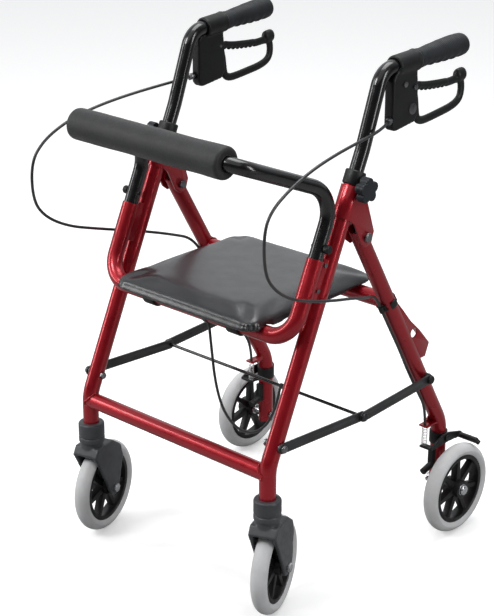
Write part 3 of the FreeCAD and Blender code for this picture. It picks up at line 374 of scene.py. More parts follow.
def spreader_steel():
    f = Finish("satin_grey_spreader", metallic=0.45, Coat_Weight=0.25, Coat_Roughness=0.3)
    f.colour(f.blend(f.ranged(f.noise(30.0, 4.0), 0, 1), (0.026, 0.027, 0.029), (0.045, 0.046, 0.049)))
    f.rough(f.ranged(f.noise(90.0, 3.0), 0.36, 0.5))
    f.bump(f.noise(700.0, 2.0), 0.0001, 0.4)
    return f.material


def foam_skin():
    """Closed-cell foam: a very fine open texture, slightly paler where it is rubbed, with painted shade
    darkening its pore pits.
    """
    f = Finish("foam_roll", roughness=0.7, Sheen_Weight=0.12, Sheen_Roughness=0.4)
    pore_relief_and_shade = f.cells(1500.0)
    wide = f.noise(22.0, 4.0)
    base = f.blend(f.ranged(wide, 0, 1), (0.008, 0.0085, 0.009), (0.016, 0.0165, 0.0175))
    # painted shade: the pore pits that the bump below sinks are painted a little darker
    f.colour(f.blend(f.ranged(pore_relief_and_shade, 0.4, 0.0, 0.05, 0.4), base, (0.009, 0.009, 0.0095)))
    f.rough(f.ranged(f.noise(300.0), 0.5, 0.62))
    f.bump(pore_relief_and_shade, 0.0004, 0.45)
    f.bump(f.noise(55.0, 3.0), 0.0012, 0.3)
    return f.material


def grip_rubber():
    f = Finish("grip_rubber", Specular_IOR_Level=0.4)
    f.colour(f.blend(f.ranged(f.noise(34.0, 4.0), 0, 1), (0.007, 0.009, 0.0115), (0.014, 0.017, 0.021)))
    f.rough(f.ranged(f.noise(120.0, 3.0), 0.42, 0.56))
    f.bump(f.cells(1300.0), 0.00025, 0.5)
    return f.material


def seat_vinyl():
    """Soft vinyl with a leather grain: round pebbles with fine creases between them."""
    f = Finish("seat_vinyl", Coat_Weight=0.6, Coat_Roughness=0.2)
    pebbles = f.cells(620.0, "SMOOTH_F1")
    creases = f.node("ShaderNodeTexVoronoi", feature="DISTANCE_TO_EDGE")
    creases.inputs["Scale"].default_value = 480.0
    f.join(f.place, creases.inputs["Vector"])
    broad = f.ranged(f.noise(8.0, 4.0), 0, 1)
    f.colour(f.blend(broad, (0.0060, 0.0068, 0.0090), (0.0095, 0.0108, 0.0140)))
    f.rough(f.ranged(f.noise(36.0, 4.0), 0.30, 0.40))
    f.bump(pebbles, 0.00035, 0.35)
    f.bump(f.ranged(creases.outputs["Distance"], 0.0, 1.0, 0.0, 0.08), 0.00025, 0.35)
    f.bump(f.noise(18.0, 3.0), 0.0025, 0.22)
    return f.material


def tyre_rubber():
    f = Finish("pale_grey_tyre", Sheen_Weight=0.05)
    dust = f.noise(28.0, 5.0, 0.6)
    f.colour(f.blend(f.ranged(dust, 0, 1, 0.35, 0.75), (0.66, 0.665, 0.675), (0.56, 0.56, 0.565)))
    f.rough(f.ranged(f.noise(80.0), 0.5, 0.66))
    f.bump(f.noise(900.0, 2.0), 0.0002, 0.3)
    return f.material


def cable_sheath():
    """Smooth plastic sheath over a wound liner that shows faintly along it."""
    f = Finish("cable_sheath", Coat_Weight=0.3, Coat_Roughness=0.15)
    wound = f.node("ShaderNodeTexWave", wave_type="BANDS", bands_direction="Y")
    wound.inputs["Scale"].default_value = 300.0
    wound.inputs["Distortion"].default_value = 0.4
    f.join(f.node("ShaderNodeTexCoord").outputs["UV"], wound.inputs["Vector"])
    f.colour(f.blend(f.ranged(f.noise(40.0), 0, 1), (0.018, 0.018, 0.020), (0.035, 0.035, 0.038)))
    f.rough(f.ranged(f.noise(150.0), 0.3, 0.42))
    f.bump(wound.outputs["Fac"], 0.0001, 0.3)
    return f.material


def webbing():
    """Black woven cord: two crossed sets of strands wound round it."""
    f = Finish("woven_cord", roughness=0.75, Sheen_Weight=0.4)
    round_uv = f.node("ShaderNodeTexCoord").outputs["UV"]
    weave = []
    for lean in (0.9, -0.9):
        strands = f.node("ShaderNodeTexWave", wave_type="BANDS", bands_direction="X")
        strands.inputs["Scale"].default_value = 1.3
        slanted = f.mapped(scale=(1.0, 260.0, 1.0), turn=(0, 0, lean), source=round_uv)
        f.join(slanted, strands.inputs["Vector"])
        weave.append(strands.outputs["Fac"])
    crossed = f.node("ShaderNodeMath", operation="MAXIMUM")
    f.join(weave[0], crossed.inputs[0])
    f.join(weave[1], crossed.inputs[1])
    f.colour(f.blend(crossed.outputs[0], (0.006, 0.006, 0.007), (0.022, 0.022, 0.024)))
    f.bump(crossed.outputs[0], 0.0004, 0.6)
    return f.material


def floor_finish():
    """Floor that shows pale to the camera and throws less light back up than it shows."""
    f = Finish("studio_floor", roughness=0.9, Emission_Color=(1.0, 1.0, 1.0, 1.0))
    direct = f.node("ShaderNodeLightPath").outputs["Is Camera Ray"]
    f.join(f.ranged(direct, 0.0, 0.32, 0.0, 1.0), f.shader.inputs["Emission Strength"])
    f.colour(f.blend(direct, (0.30, 0.30, 0.30), (0.92, 0.92, 0.92)))
    return f.material


paint = candy_paint()
gloss = black_gloss()
charcoal = moulded("charcoal_moulding", (0.045, 0.048, 0.053), (0.070, 0.075, 0.081), 0.36)
black = moulded("black_moulding", (0.005, 0.0055, 0.006), (0.011, 0.0115, 0.0125), 0.42)
rim_black = moulded("rim_moulding", (0.005, 0.005, 0.0055), (0.011, 0.011, 0.012), 0.38)
board_black = moulded("seat_board_moulding", (0.007, 0.007, 0.0075), (0.014, 0.014, 0.015), 0.6)
knob_blue = moulded("star_knob_moulding", (0.009, 0.012, 0.016), (0.020, 0.025, 0.032), 0.38)
ring_grey = moulded("grip_ring_moulding", (0.075, 0.080, 0.086), (0.105, 0.110, 0.118), 0.4)
bright = metal("bright_steel", (0.60, 0.61, 0.63), (0.74, 0.75, 0.77), 0.24)
zinc = metal("zinc_wire", (0.50, 0.50, 0.50), (0.66, 0.66, 0.67), 0.3)
dark_bolt = metal("blackened_bolt", (0.05, 0.05, 0.055), (0.11, 0.11, 0.12), 0.34)
grey_bolt = metal("grey_bolt", (0.16, 0.16, 0.17), (0.28, 0.28, 0.29), 0.3)
steel = spreader_steel()
foam = foam_skin()
rubber = grip_rubber()
vinyl = seat_vinyl()
tyre_grey = tyre_rubber()
sheath = cable_sheath()
woven = webbing()

make_camera()


# ---- cords -------------------------------------------------------------------------------------
upper_route = {
    "r": [
        (0.202715, 0.02625, 0.723793), (0.21188, -0.001948, 0.719563), (0.216, -0.052, 0.715),
        (0.219, -0.105, 0.709), (0.221, -0.157, 0.699), (0.223, -0.206, 0.683), (0.224, -0.245, 0.662),
        (0.224, -0.261, 0.636), (0.224, -0.261, 0.610),
    ],
    "l": [
        (-0.202715, 0.02625, 0.723793), (-0.21188, -0.001948, 0.719563), (-0.218, -0.054, 0.716),
        (-0.224, -0.108, 0.711), (-0.230, -0.161, 0.703), (-0.235, -0.209, 0.690), (-0.239, -0.250, 0.669),
        (-0.240, -0.275, 0.640), (-0.240, -0.275, 0.610),
    ],
}
lower_loop = {
    "r": [
        (0.224, -0.261, 0.610), (0.224, -0.261, 0.578), (0.223, -0.241, 0.546), (0.222, -0.203, 0.520),
        (0.221, -0.152, 0.502), (0.219, -0.101, 0.489), (0.215, -0.058, 0.479), (0.208, -0.016, 0.466),
    ],
    "l": [
        (-0.240, -0.275, 0.610), (-0.240, -0.275, 0.580), (-0.238, -0.254, 0.549), (-0.233, -0.213, 0.525),
        (-0.228, -0.160, 0.509), (-0.221, -0.108, 0.495), (-0.215, -0.061, 0.482), (-0.208, -0.016, 0.468),
    ],
}
leg_run = [
    (0.192, 0.02272, 0.455), (0.192, 0.05486, 0.400), (0.1935, 0.084077, 0.350), (0.191, 0.112711, 0.301),
    (0.193, 0.139006, 0.256), (0.192, 0.161885, 0.221), (0.192, 0.162885, 0.189),
]
strap_route = [
    (strap_top_x, -0.170368, 0.4233), (0.0312, -0.166, 0.376), (0.033, -0.1605, 0.322),
    (0.0355, -0.147, 0.272), (0.0385, -0.119, 0.231), (0.0415, -0.084, 0.2115), (0.0435, -0.054, 0.217),
    (0.0446, -0.034, 0.243), (strap_rod_x, -0.0262, 0.272),
]


def make_cord(
    name, route, radius, material, node, sides=18,
):
    line = cord_line(name + "_line", route)
    piece = put(name, tube_mesh(name, line, lambda share, turn: radius, sides), material)
    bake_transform(piece)
    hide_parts(node)
    return piece


def make_cables():
    for side, sign in SIDES:
        route = upper_route[side]
        make_cord(
            "brake_cable_upper_" + side, route, cable_r, sheath, "upper_cable_" + side,
        )
        down = lower_loop[side] + [(sign * x, y, z) for x, y, z in leg_run]
        make_cord(
            "brake_cable_lower_" + side, down, cable_r, sheath, "lower_cable_" + side,
        )


def strap_loop(name, middle_x, place, inner_r, body, half_width=0.004, thick=0.0018):
    """Flat loop of the strap round a tube."""
    y, z = place
    bm = bmesh.new()
    steps, across = 48, 6
    rings = []
    for i in range(steps):
        turn = 2 * math.pi * i / steps
        ring = []
        for k in range(across * 2):
            a = 2 * math.pi * k / (across * 2)
            x = middle_x + half_width * math.copysign(abs(math.cos(a)) ** 0.5, math.cos(a))
            r = inner_r + thick / 2 + thick / 2 * math.copysign(abs(math.sin(a)) ** 0.5, math.sin(a))
            ring.append(bm.verts.new((x, y + r * math.cos(turn), z + r * math.sin(turn))))
        rings.append(ring)
    for i in range(steps):
        n = (i + 1) % steps
        for k in range(across * 2):
            m = (k + 1) % (across * 2)
            bm.faces.new((rings[i][k], rings[i][m], rings[n][m], rings[n][k]))
    bmesh.ops.recalc_face_normals(bm, faces=bm.faces)
    mesh = mesh_from(bm, name)
    smooth(mesh, 60)
    uv = mesh.uv_layers.new(name="along")
    for loop in mesh.loops:
        co = mesh.vertices[loop.vertex_index].co
        uv.data[loop.index].uv = (co.x * 60, math.atan2(co.z - z, co.y - y) * inner_r)
    piece = put(name, mesh, woven)
    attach(piece, body)
    return piece


def make_strap():
    loops = [
        strap_loop("strap_loop_on_seat_tube", strap_top_x, seat_tube, leg_r + 0.0001, "front_frame"),
        strap_loop("strap_loop_on_rod", strap_rod_x, rod_place, 0.0027, "spreader_front"),
    ]
    make_cord(
        "pull_strap_cord", strap_route, strap_r, woven, "pull_strap",
        20,
    )


make_cables()
make_strap()


# ---- repeated and path-following details -------------------------------------------------------
def new_tree(name, inputs):
    tree = bpy.data.node_groups.new(name, "GeometryNodeTree")
    tree.interface.new_socket("Geometry", in_out="OUTPUT", socket_type="NodeSocketGeometry")
    tree.interface.new_socket("Geometry", in_out="INPUT", socket_type="NodeSocketGeometry")
    for label, kind in inputs:
        tree.interface.new_socket(label, in_out="INPUT", socket_type="NodeSocket" + kind)
    return tree, tree.nodes.new("NodeGroupInput"), tree.nodes.new("NodeGroupOutput")


def chain(tree, *links):
    for source, target in links:
        tree.links.new(source, target)


def bead_row_tree():
    """Beads set along a line: weld ripples and studs."""
    tree, given, out = new_tree(
        "bead_row", [("Spacing", "Float"), ("Bead Size", "Vector"), ("Finish", "Material")],
    )
    line = tree.nodes.new("GeometryNodeMeshToCurve")
    spaced = tree.nodes.new("GeometryNodeResampleCurve")
    if "Mode" in spaced.inputs:
        spaced.inputs["Mode"].default_value = "Length"
    else:
        spaced.mode = "LENGTH"
    bead = tree.nodes.new("GeometryNodeMeshUVSphere")
    bead.inputs["Segments"].default_value = 10
    bead.inputs["Rings"].default_value = 6
    bead.inputs["Radius"].default_value = 0.5
    tangent = tree.nodes.new("GeometryNodeInputTangent")
    turned = tree.nodes.new("FunctionNodeAlignRotationToVector")
    turned.axis = "X"
    row = tree.nodes.new("GeometryNodeInstanceOnPoints")
    solid = tree.nodes.new("GeometryNodeRealizeInstances")
    finish = tree.nodes.new("GeometryNodeSetMaterial")
    shade = tree.nodes.new("GeometryNodeSetShadeSmooth")
    chain(
        tree,
        (given.outputs["Geometry"], line.inputs["Mesh"]),
        (line.outputs["Curve"], spaced.inputs["Curve"]),
        (given.outputs["Spacing"], spaced.inputs["Length"]),
        (spaced.outputs["Curve"], row.inputs["Points"]),
        (bead.outputs["Mesh"], row.inputs["Instance"]),
        (tangent.outputs["Tangent"], turned.inputs["Vector"]),
        (turned.outputs["Rotation"], row.inputs["Rotation"]),
        (given.outputs["Bead Size"], row.inputs["Scale"]),
        (row.outputs["Instances"], shade.inputs["Geometry"]),
        (shade.outputs["Geometry"], solid.inputs["Geometry"]),
        (solid.outputs["Geometry"], finish.inputs["Geometry"]),
        (given.outputs["Finish"], finish.inputs["Material"]),
        (finish.outputs["Geometry"], out.inputs["Geometry"]),
    )
    return tree


def coil_tree():
    """Wire wound into a spring, standing at the origin."""
    tree, given, out = new_tree(
        "coil", [("Coil Radius", "Float"), ("Wire Radius", "Float"), ("Height", "Float"),
                 ("Turns", "Float"), ("Finish", "Material")],
    )
    spiral = tree.nodes.new("GeometryNodeCurveSpiral")
    spiral.inputs["Resolution"].default_value = 28
    wire = tree.nodes.new("GeometryNodeCurvePrimitiveCircle")
    wire.inputs["Resolution"].default_value = 8
    body = tree.nodes.new("GeometryNodeCurveToMesh")
    body.inputs["Fill Caps"].default_value = True
    shade = tree.nodes.new("GeometryNodeSetShadeSmooth")
    solid = tree.nodes.new("GeometryNodeRealizeInstances")
    finish = tree.nodes.new("GeometryNodeSetMaterial")
    chain(
        tree,
        (given.outputs["Coil Radius"], spiral.inputs["Start Radius"]),
        (given.outputs["Coil Radius"], spiral.inputs["End Radius"]),
        (given.outputs["Height"], spiral.inputs["Height"]),
        (given.outputs["Turns"], spiral.inputs["Rotations"]),
        (given.outputs["Wire Radius"], wire.inputs["Radius"]),
        (spiral.outputs["Curve"], body.inputs["Curve"]),
        (wire.outputs["Curve"], body.inputs["Profile Curve"]),
        (body.outputs["Mesh"], shade.inputs["Geometry"]),
        (shade.outputs["Geometry"], solid.inputs["Geometry"]),
        (solid.outputs["Geometry"], finish.inputs["Geometry"]),
        (given.outputs["Finish"], finish.inputs["Material"]),
        (finish.outputs["Geometry"], out.inputs["Geometry"]),
    )
    return tree


def grown(name, base_mesh, tree, values):
    """Plain mesh that a tree makes from a base mesh and its named inputs."""
    piece = put(name, base_mesh)
    modifier = piece.modifiers.new("grow", "NODES")
    modifier.node_group = tree
    for item in tree.interface.items_tree:
        if item.in_out == "INPUT" and item.name in values:
            modifier[item.identifier] = values[item.name]
    applied(piece)
    return piece


def line_mesh(name, lines):
    verts, edges = [], []
    for line in lines:
        first = len(verts)
        verts.extend(line)
        edges.extend((first + i, first + i + 1) for i in range(len(line) - 1))
    mesh = bpy.data.meshes.new(name)
    mesh.from_pydata([tuple(v) for v in verts], edges, [])
    return mesh


bead_row = bead_row_tree()
coil = coil_tree()


def coped_ring(y, z, lean, sign, tube_radius):
    """The line where a cross tube along X meets a leg that leans in the YZ plane."""
    ring = []
    for i in range(73):
        turn = 2 * math.pi * i / 72
        dy, dz = tube_radius * math.cos(turn), tube_radius * math.sin(turn)
        across = dy * math.cos(lean) + dz * math.sin(lean)
        reach = math.sqrt(max(leg_r ** 2 - across ** 2, 0.0))
        ring.append(Vector((sign * (leg_x - reach), y + dy, z + dz)))
    return ring


def weld_beads(name, y, z, lean, body):
    lines = [coped_ring(y, z, lean, sign, leg_r + 0.0004) for _, sign in SIDES]
    piece = grown(name, line_mesh(name, lines), bead_row, {
        "Spacing": 0.0011, "Bead Size": (0.0017, 0.0036, 0.0036), "Finish": paint,
    })
    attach(piece, body)


def make_welds():
    weld_beads("crossbar_weld", crossbar[0], crossbar[1], front_lean * 0.5, "front_frame")
    weld_beads("rear_tube_weld", rear_tube[0], rear_tube[1], -rear_lean, "rear_frame")


def make_springs():
    for side, _ in SIDES:
        lo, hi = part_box("brake_spring_" + side)
        outer = (hi.x - lo.x) / 2
        wire = 0.0005
        name = "brake_coil_" + side
        piece = grown(name, line_mesh(name, [[Vector(), Vector((0, 0, mm))]]), coil, {
            "Coil Radius": outer - wire, "Wire Radius": wire, "Height": hi.z - lo.z - 2 * wire, "Turns": 11.0,
            "Finish": zinc,
        })
        piece.data.transform(Matrix.Translation(((lo.x + hi.x) / 2, (lo.y + hi.y) / 2, lo.z + wire)))
        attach(piece, "rear_frame")
        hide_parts("brake_spring_" + side)


make_welds()
make_springs()


# ---- machined and moulded parts ----------------------------------------------------------------
def eased(node, material, width=0.0008):
    """Copy of a node with its hard edges rounded, which stands for it."""
    source = frame["nodes"][node]
    mesh = merged_copy(node, flat_degrees=1.5)
    if "custom_normal" in mesh.attributes:
        mesh.attributes.remove(mesh.attributes["custom_normal"])
    for edge in mesh.edges:
        edge.use_edge_sharp = False
    piece = put(node + "_eased", mesh, material)
    bevel = piece.modifiers.new("ease", "BEVEL")
    bevel.width = width
    bevel.segments = 2
    bevel.limit_method = "ANGLE"
    bevel.angle_limit = math.radians(32)
    bevel.use_clamp_overlap = True
    bevel.miter_outer = "MITER_ARC"
    smooth(applied(piece), 30)
    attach(piece, source["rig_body"])
    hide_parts(node)
    return piece


def fused(name, mesh, material, voxel, passes, grow):
    """One flowing moulding from a mesh of one or more closed shapes."""
    piece = put(name, mesh, material)
    even = piece.modifiers.new("even", "REMESH")
    even.mode = "VOXEL"
    even.voxel_size = voxel
    even.use_smooth_shade = True
    relax = piece.modifiers.new("relax", "SMOOTH")
    relax.factor = 0.5
    relax.iterations = passes
    out = piece.modifiers.new("out", "DISPLACE")
    out.strength = grow
    out.mid_level = 0.0
    made = applied(piece)
    made.materials.clear()
    made.materials.append(material)
    return piece


def softened(node, material, voxel, passes, grow):
    """Copy of a moulded node with full, flowing corners, which stands for it."""
    source = frame["nodes"][node]
    piece = fused(node + "_moulded", merged_copy(node), material, voxel, passes, grow)
    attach(piece, source["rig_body"])
    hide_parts(node)
    return piece


def make_levers():
    """Loop levers: scalloped upper bar, slim curved lower bar, rounded knob at the tip."""
    loop_points = [
        (-3, 0), (10, -1), (30, -6), (60, -9), (92, -11), (112, -9), (125, -13), (126, -34), (118, -45),
        (98, -51), (72, -54), (46, -57), (28, -58), (16, -53), (13, -38), (11, -20), (6, -4),
    ]
    bar_half_thick, bar_flatness = 0.0045, 1.42
    scallop_depth, scallop_pitch = 0.0022, 196
    knob_half_height, knob_flatness = 0.0108, 0.72

    def bar_radius(share, turn):
        radius = bar_half_thick
        if share < 0.05:
            radius += 0.0016 * (1 - share / 0.05)
        if 0.06 < share < 0.29:
            dip = 0.5 - 0.5 * math.cos(share * scallop_pitch)
            radius += 0.0005 - scallop_depth * max(0.0, -math.cos(turn)) * dip
        return radius / math.hypot(math.cos(turn) / bar_flatness, math.sin(turn))

    def knob_radius(share, turn):
        swell_out = max(0.02, 1 - (2 * share - 1) ** 4) ** 0.5
        return knob_half_height * swell_out / math.hypot(math.cos(turn), math.sin(turn) / knob_flatness)

    for side, _ in SIDES:
        node = "brake_lever_" + side
        lo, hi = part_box(node)
        plane = (lo.x + hi.x) / 2
        at = lambda dy, dz: Vector((plane, lever_pin[0] + dy * mm, lever_pin[1] + dz * mm))
        loop = cord_line("lever_loop", [at(dy, dz) for dy, dz in loop_points])
        knob_line = [at(109, -6).lerp(at(133, -3.5), k / 14) for k in range(15)]
        bm = bmesh.new()
        bm.from_mesh(tube_mesh("lever_bar", loop, bar_radius, 20))
        bm.from_mesh(tube_mesh("lever_knob", knob_line, knob_radius, 20))
        piece = fused("loop_lever_" + side, mesh_from(bm, node), black, 0.0010, 5, 0.0001)
        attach(piece, frame["nodes"][node]["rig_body"])
        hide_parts(node)


def dress_nodes():
    plain = {
        paint: ["front_leg_l", "front_leg_r", "front_crossbar", "seat_front_tube", "rear_leg_l", "rear_leg_r",
                "rear_cross_tube"],
        gloss: ["backrest_tube", "handle_tube_l", "handle_tube_r", "spreader_rod"],
    }
    for material, nodes in plain.items():
        for node in nodes:
            frame["nodes"][node].data.materials.clear()
            frame["nodes"][node].data.materials.append(material)
    both = lambda name: [name + "_l", name + "_r"]
    wheels = lambda name: [name + tail for tail in ("_fl", "_fr", "_rl", "_rr")]
    rounded = [
        (paint, "red_paint", 0.0006, ["pivot_brackets", "sleeve_gussets", "rear_gussets", "brake_tabs"]),
        (steel, "grey_steel", 0.0005, ["spreader_front_bars", "spreader_rear_bars"]),
        (bright, "bright_steel", 0.0004, ["rear_axles"] + both("caster_bolts")),
        (grey_bolt, "bright_steel", 0.0004, ["front_frame_bolts"] + both("lever_fittings")),
        (charcoal, "charcoal_plastic", 0.0011, ["caster_sockets"]),
        (black, "black_plastic", 0.0009, ["leg_collars", "rear_frame_fixings", "seat_clips"]
         + both("backrest_knob")),
        (dark_bolt, "black_plastic", 0.0004, ["spreader_centre_bolts"]),
        (rim_black, "black_plastic", 0.0007, wheels("rim")),
        (tyre_grey, "grey_tyre", 0.0004, wheels("tyre")),
        (board_black, "seat_base", 0.0008, ["seat_board"]),
    ]
    for material, slot_name, width, nodes in rounded:
        for node in nodes:
            eased(node, material, width)
    moulded_nodes = [
        (charcoal, "charcoal_plastic", 0.0013, 7, 0.0003, both("caster_fork")),
        (black, "black_plastic", 0.0012, 18, 0.0004, both("brake_housing")),
        (black, "black_plastic", 0.0011, 4, 0.0, both("brake_arm")),
        (knob_blue, "black_plastic", 0.0009, 9, 0.0004, both("star_knob")),
    ]
    for material, slot_name, voxel, passes, grow, nodes in moulded_nodes:
        for node in nodes:
            softened(node, material, voxel, passes, grow)


dress_nodes()
make_levers()


# ---- grips -------------------------------------------------------------------------------------
def grip_radius(share, turn):
    """Moulded grip: slim neck, palm swell, flared end, finger valleys below and fine ribs on top."""
    knots = (
        (0.0, 0.0146), (0.04, 0.0150), (0.12, 0.0143), (0.34, 0.0157), (0.56, 0.0170), (0.74, 0.0176),
        (0.88, 0.0174), (0.95, 0.0168), (0.985, 0.0155), (1.0, 0.0138),
    )
    for (s0, r0), (s1, r1) in zip(knots, knots[1:]):
        if share <= s1:
            t = (share - s0) / (s1 - s0)
            radius = r0 + (r1 - r0) * t * t * (3 - 2 * t)
            break
    below = max(0.0, -math.sin(turn)) ** 1.5
    if 0.12 < share < 0.86:
        fade = min(1.0, (share - 0.12) / 0.06, (0.86 - share) / 0.06)
        valley = 0.5 - 0.5 * math.cos(2 * math.pi * (share - 0.12) / 0.148)
        radius -= 0.0019 * below * fade * valley
        ribs = max(0.0, math.sin(2 * math.pi * share * 34)) * max(0.0, math.sin(turn)) ** 0.7
        radius += 0.00022 * ribs * fade
    return radius


def make_grips():
    steps = 230
    for side, sign in SIDES:
        axis = Vector((sign * grip_axis.x, grip_axis.y, grip_axis.z)).normalized()
        corner = Vector((sign * handle_corner.x, handle_corner.y, handle_corner.z))
        across = axis.cross(Vector((0, 0, 1))).normalized()
        up = across.cross(axis).normalized()
        bm = bmesh.new()
        uv = bm.loops.layers.uv.new("along")
        around = 64
        rings = []
        for i in range(steps + 1):
            share = i / steps
            place = corner + axis * (grip_from + (grip_to - grip_from) * share)
            rings.append([
                bm.verts.new(place + (across * math.cos(a) + up * math.sin(a)) * grip_radius(share, a))
                for a in (2 * math.pi * k / around for k in range(around))
            ])
        end_face = [
            (0.0005, 0.0128), (0.0002, 0.0112), (-0.0008, 0.0106), (-0.0008, 0.0030), (-0.0008, 0.0008),
        ]
        tip = corner + axis * grip_to
        for push, radius in end_face:
            rings.append([
                bm.verts.new(tip + axis * push + (across * math.cos(a) + up * math.sin(a)) * radius)
                for a in (2 * math.pi * k / around for k in range(around))
            ])
        for i in range(len(rings) - 1):
            for k in range(around):
                n = (k + 1) % around
                face = bm.faces.new((rings[i][k], rings[i][n], rings[i + 1][n], rings[i + 1][k]))
                for loop, (u, v) in zip(face.loops, ((k, i), (k + 1, i), (k + 1, i + 1), (k, i + 1))):
                    loop[uv].uv = (u / around, v / steps)
        bm.faces.new(rings[0])
        bm.faces.new(rings[-1])
        bmesh.ops.recalc_face_normals(bm, faces=bm.faces)
        mesh = mesh_from(bm, "grip")
        smooth(mesh, 45)
        piece = put("rubber_grip_" + side, mesh, rubber)
        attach(piece, "handle_" + side)
        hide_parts("hand_grip_" + side)

        lines = []
        for radius in (0.0048, 0.0072, 0.0092):
            lines.append([
                tip + axis * -0.0006 + (across * math.cos(a) + up * math.sin(a)) * radius
                for a in (2 * math.pi * k / 48 for k in range(49))
            ])
        studs = grown("grip_end_studs_" + side, line_mesh("studs", lines), bead_row, {
            "Spacing": 0.0021, "Bead Size": (0.0013, 0.0013, 0.0013), "Finish": ring_grey,
        })
        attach(studs, "handle_" + side)

        centre = corner + axis * (ring_from + 0.0012)
        circle = [
            centre + (across * math.cos(a) + up * math.sin(a)) * 0.0152
            for a in (2 * math.pi * k / 64 for k in range(65))
        ]
        ring_mesh = tube_mesh("grip_ring", circle, lambda share, turn: 0.0012, 12)
        ring = put("grip_ring_" + side, ring_mesh, ring_grey)
        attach(ring, "handle_" + side)


make_grips()


# ---- foam roll ---------------------------------------------------------------------------------
def make_foam():
    lo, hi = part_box("backrest_foam")
    centre = (lo + hi) / 2
    radius = (hi.z - lo.z) / 2
    half = (hi.x - lo.x) / 2
    end_r = 0.0055
    profile = [
        (0.0, tube_r + 0.0004), (0.0012, tube_r + 0.0012), (0.0006, tube_r + 0.004), (0.0, tube_r + 0.007),
    ]
    profile += [
        (end_r - end_r * math.cos(a), radius - end_r + end_r * math.sin(a))
        for a in (math.pi / 2 * k / 8 for k in range(9))
    ]
    body = [(end_r + (half - end_r) * k / 90, radius) for k in range(1, 91)]
    left = profile + body
    rows = [(-half + x, r) for x, r in left] + [(half - x, r) for x, r in reversed(left[:-1])]
    around = 96
    bm = bmesh.new()
    rings = []
    for x, r in rows:
        ring = []
        for k in range(around):
            turn = 2 * math.pi * k / around
            place = Vector((x, math.cos(turn) * r, math.sin(turn) * r))
            if r > radius - 0.0005:
                soft = noise.noise(place * 16.0) * 0.0007 + noise.noise(place * 60.0) * 0.00022
                place.y *= 1 + (soft - 0.0003) / r
                place.z *= 1 + (soft - 0.0003) / r
            ring.append(bm.verts.new(place + centre))
        rings.append(ring)
    for a, b in zip(rings, rings[1:]):
        for k in range(around):
            n = (k + 1) % around
            bm.faces.new((a[k], a[n], b[n], b[k]))
    bore = rings[0], rings[-1]
    for k in range(around):
        n = (k + 1) % around
        bm.faces.new((bore[1][k], bore[1][n], bore[0][n], bore[0][k]))
    bmesh.ops.recalc_face_normals(bm, faces=bm.faces)
    mesh = mesh_from(bm, "foam_roll")
    smooth(mesh, 50)
    piece = put("foam_roll", mesh, foam)
    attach(piece, "backrest")
    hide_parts("backrest_foam")


make_foam()


# ---- seat --------------------------------------------------------------------------------------
def swell(piece, stays_put, cap, pressure=4.0):
    """Blows a padded piece up a little as cloth, with part of it held, and keeps the result."""
    rest = [v.co.copy() for v in piece.data.vertices]
    held = piece.vertex_groups.new(name="held")
    held.add([i for i, co in enumerate(rest) if stays_put(co)], 1.0, "ADD")
    cloth = piece.modifiers.new("swell", "CLOTH")
    cloth.settings.quality = 4
    cloth.settings.use_pressure = True
    cloth.settings.uniform_pressure_force = pressure
    cloth.settings.effector_weights.gravity = 0.0
    cloth.settings.vertex_group_mass = "held"
    cloth.collision_settings.use_collision = False
    scene = bpy.context.scene
    for step in range(1, 21):
        scene.frame_set(step)
    bpy.context.view_layer.update()
    shown = piece.evaluated_get(bpy.context.evaluated_depsgraph_get())
    moved = [v.co.copy() for v in shown.data.vertices]
    piece.modifiers.clear()
    piece.vertex_groups.clear()
    scene.frame_set(1)
    for vertex, start, end in zip(piece.data.vertices, rest, moved):
        step = end - start
        if step.length > cap:
            step *= cap / step.length
        vertex.co = start + step


def pleat(piece, lo, hi):
    """Gathers the cover at the corners, with a fold line round the sides and a tucked hem."""
    cx, cy = (lo.x + hi.x) / 2, (lo.y + hi.y) / 2
    core_x = (hi.x - lo.x) / 2 - pad_corner_r
    core_y = (hi.y - lo.y) / 2 - pad_corner_r
    height = hi.z - lo.z
    band, fade = 0.009, 0.006
    folds, deep, shallow = 20, 0.0030, 0.0007
    line_up, line_half_width, line_depth = 0.36, 0.07, 0.0009
    for vertex in piece.data.vertices:
        co = vertex.co
        ox, oy = co.x - cx, co.y - cy
        px = ox - max(-core_x, min(core_x, ox))
        py = oy - max(-core_y, min(core_y, oy))
        out = math.hypot(px, py)
        if out < pad_corner_r - band:
            continue
        up = (co.z - lo.z) / height
        rim = min(1.0, (out - pad_corner_r + band) / fade)
        away = Vector((px / out, py / out, 0))
        turn = math.atan2(abs(py), abs(px))
        corner = max(0.0, math.sin(2 * turn)) ** 0.8 if abs(px) > 1e-6 and abs(py) > 1e-6 else 0.0
        low = max(0.0, 1.0 - up * 1.02)
        wave = 0.5 + 0.5 * math.cos(turn * folds + 2.6 * noise.noise(co * 45.0))
        depth = corner * rim * (deep * low ** 0.7 + shallow) * wave
        ridge = math.exp(-((up - line_up) / line_half_width) ** 2) * line_depth * (1 - 0.6 * corner)
        tuck = max(0.0, 0.12 - up) * 0.012
        crinkle = noise.noise(co * 38.0) * 0.0006 * (0.4 + corner) + noise.noise(co * 90.0) * 0.00018
        vertex.co = co - away * (depth + ridge + tuck) + away * crinkle * rim + Vector((0, 0, crinkle * 0.5))


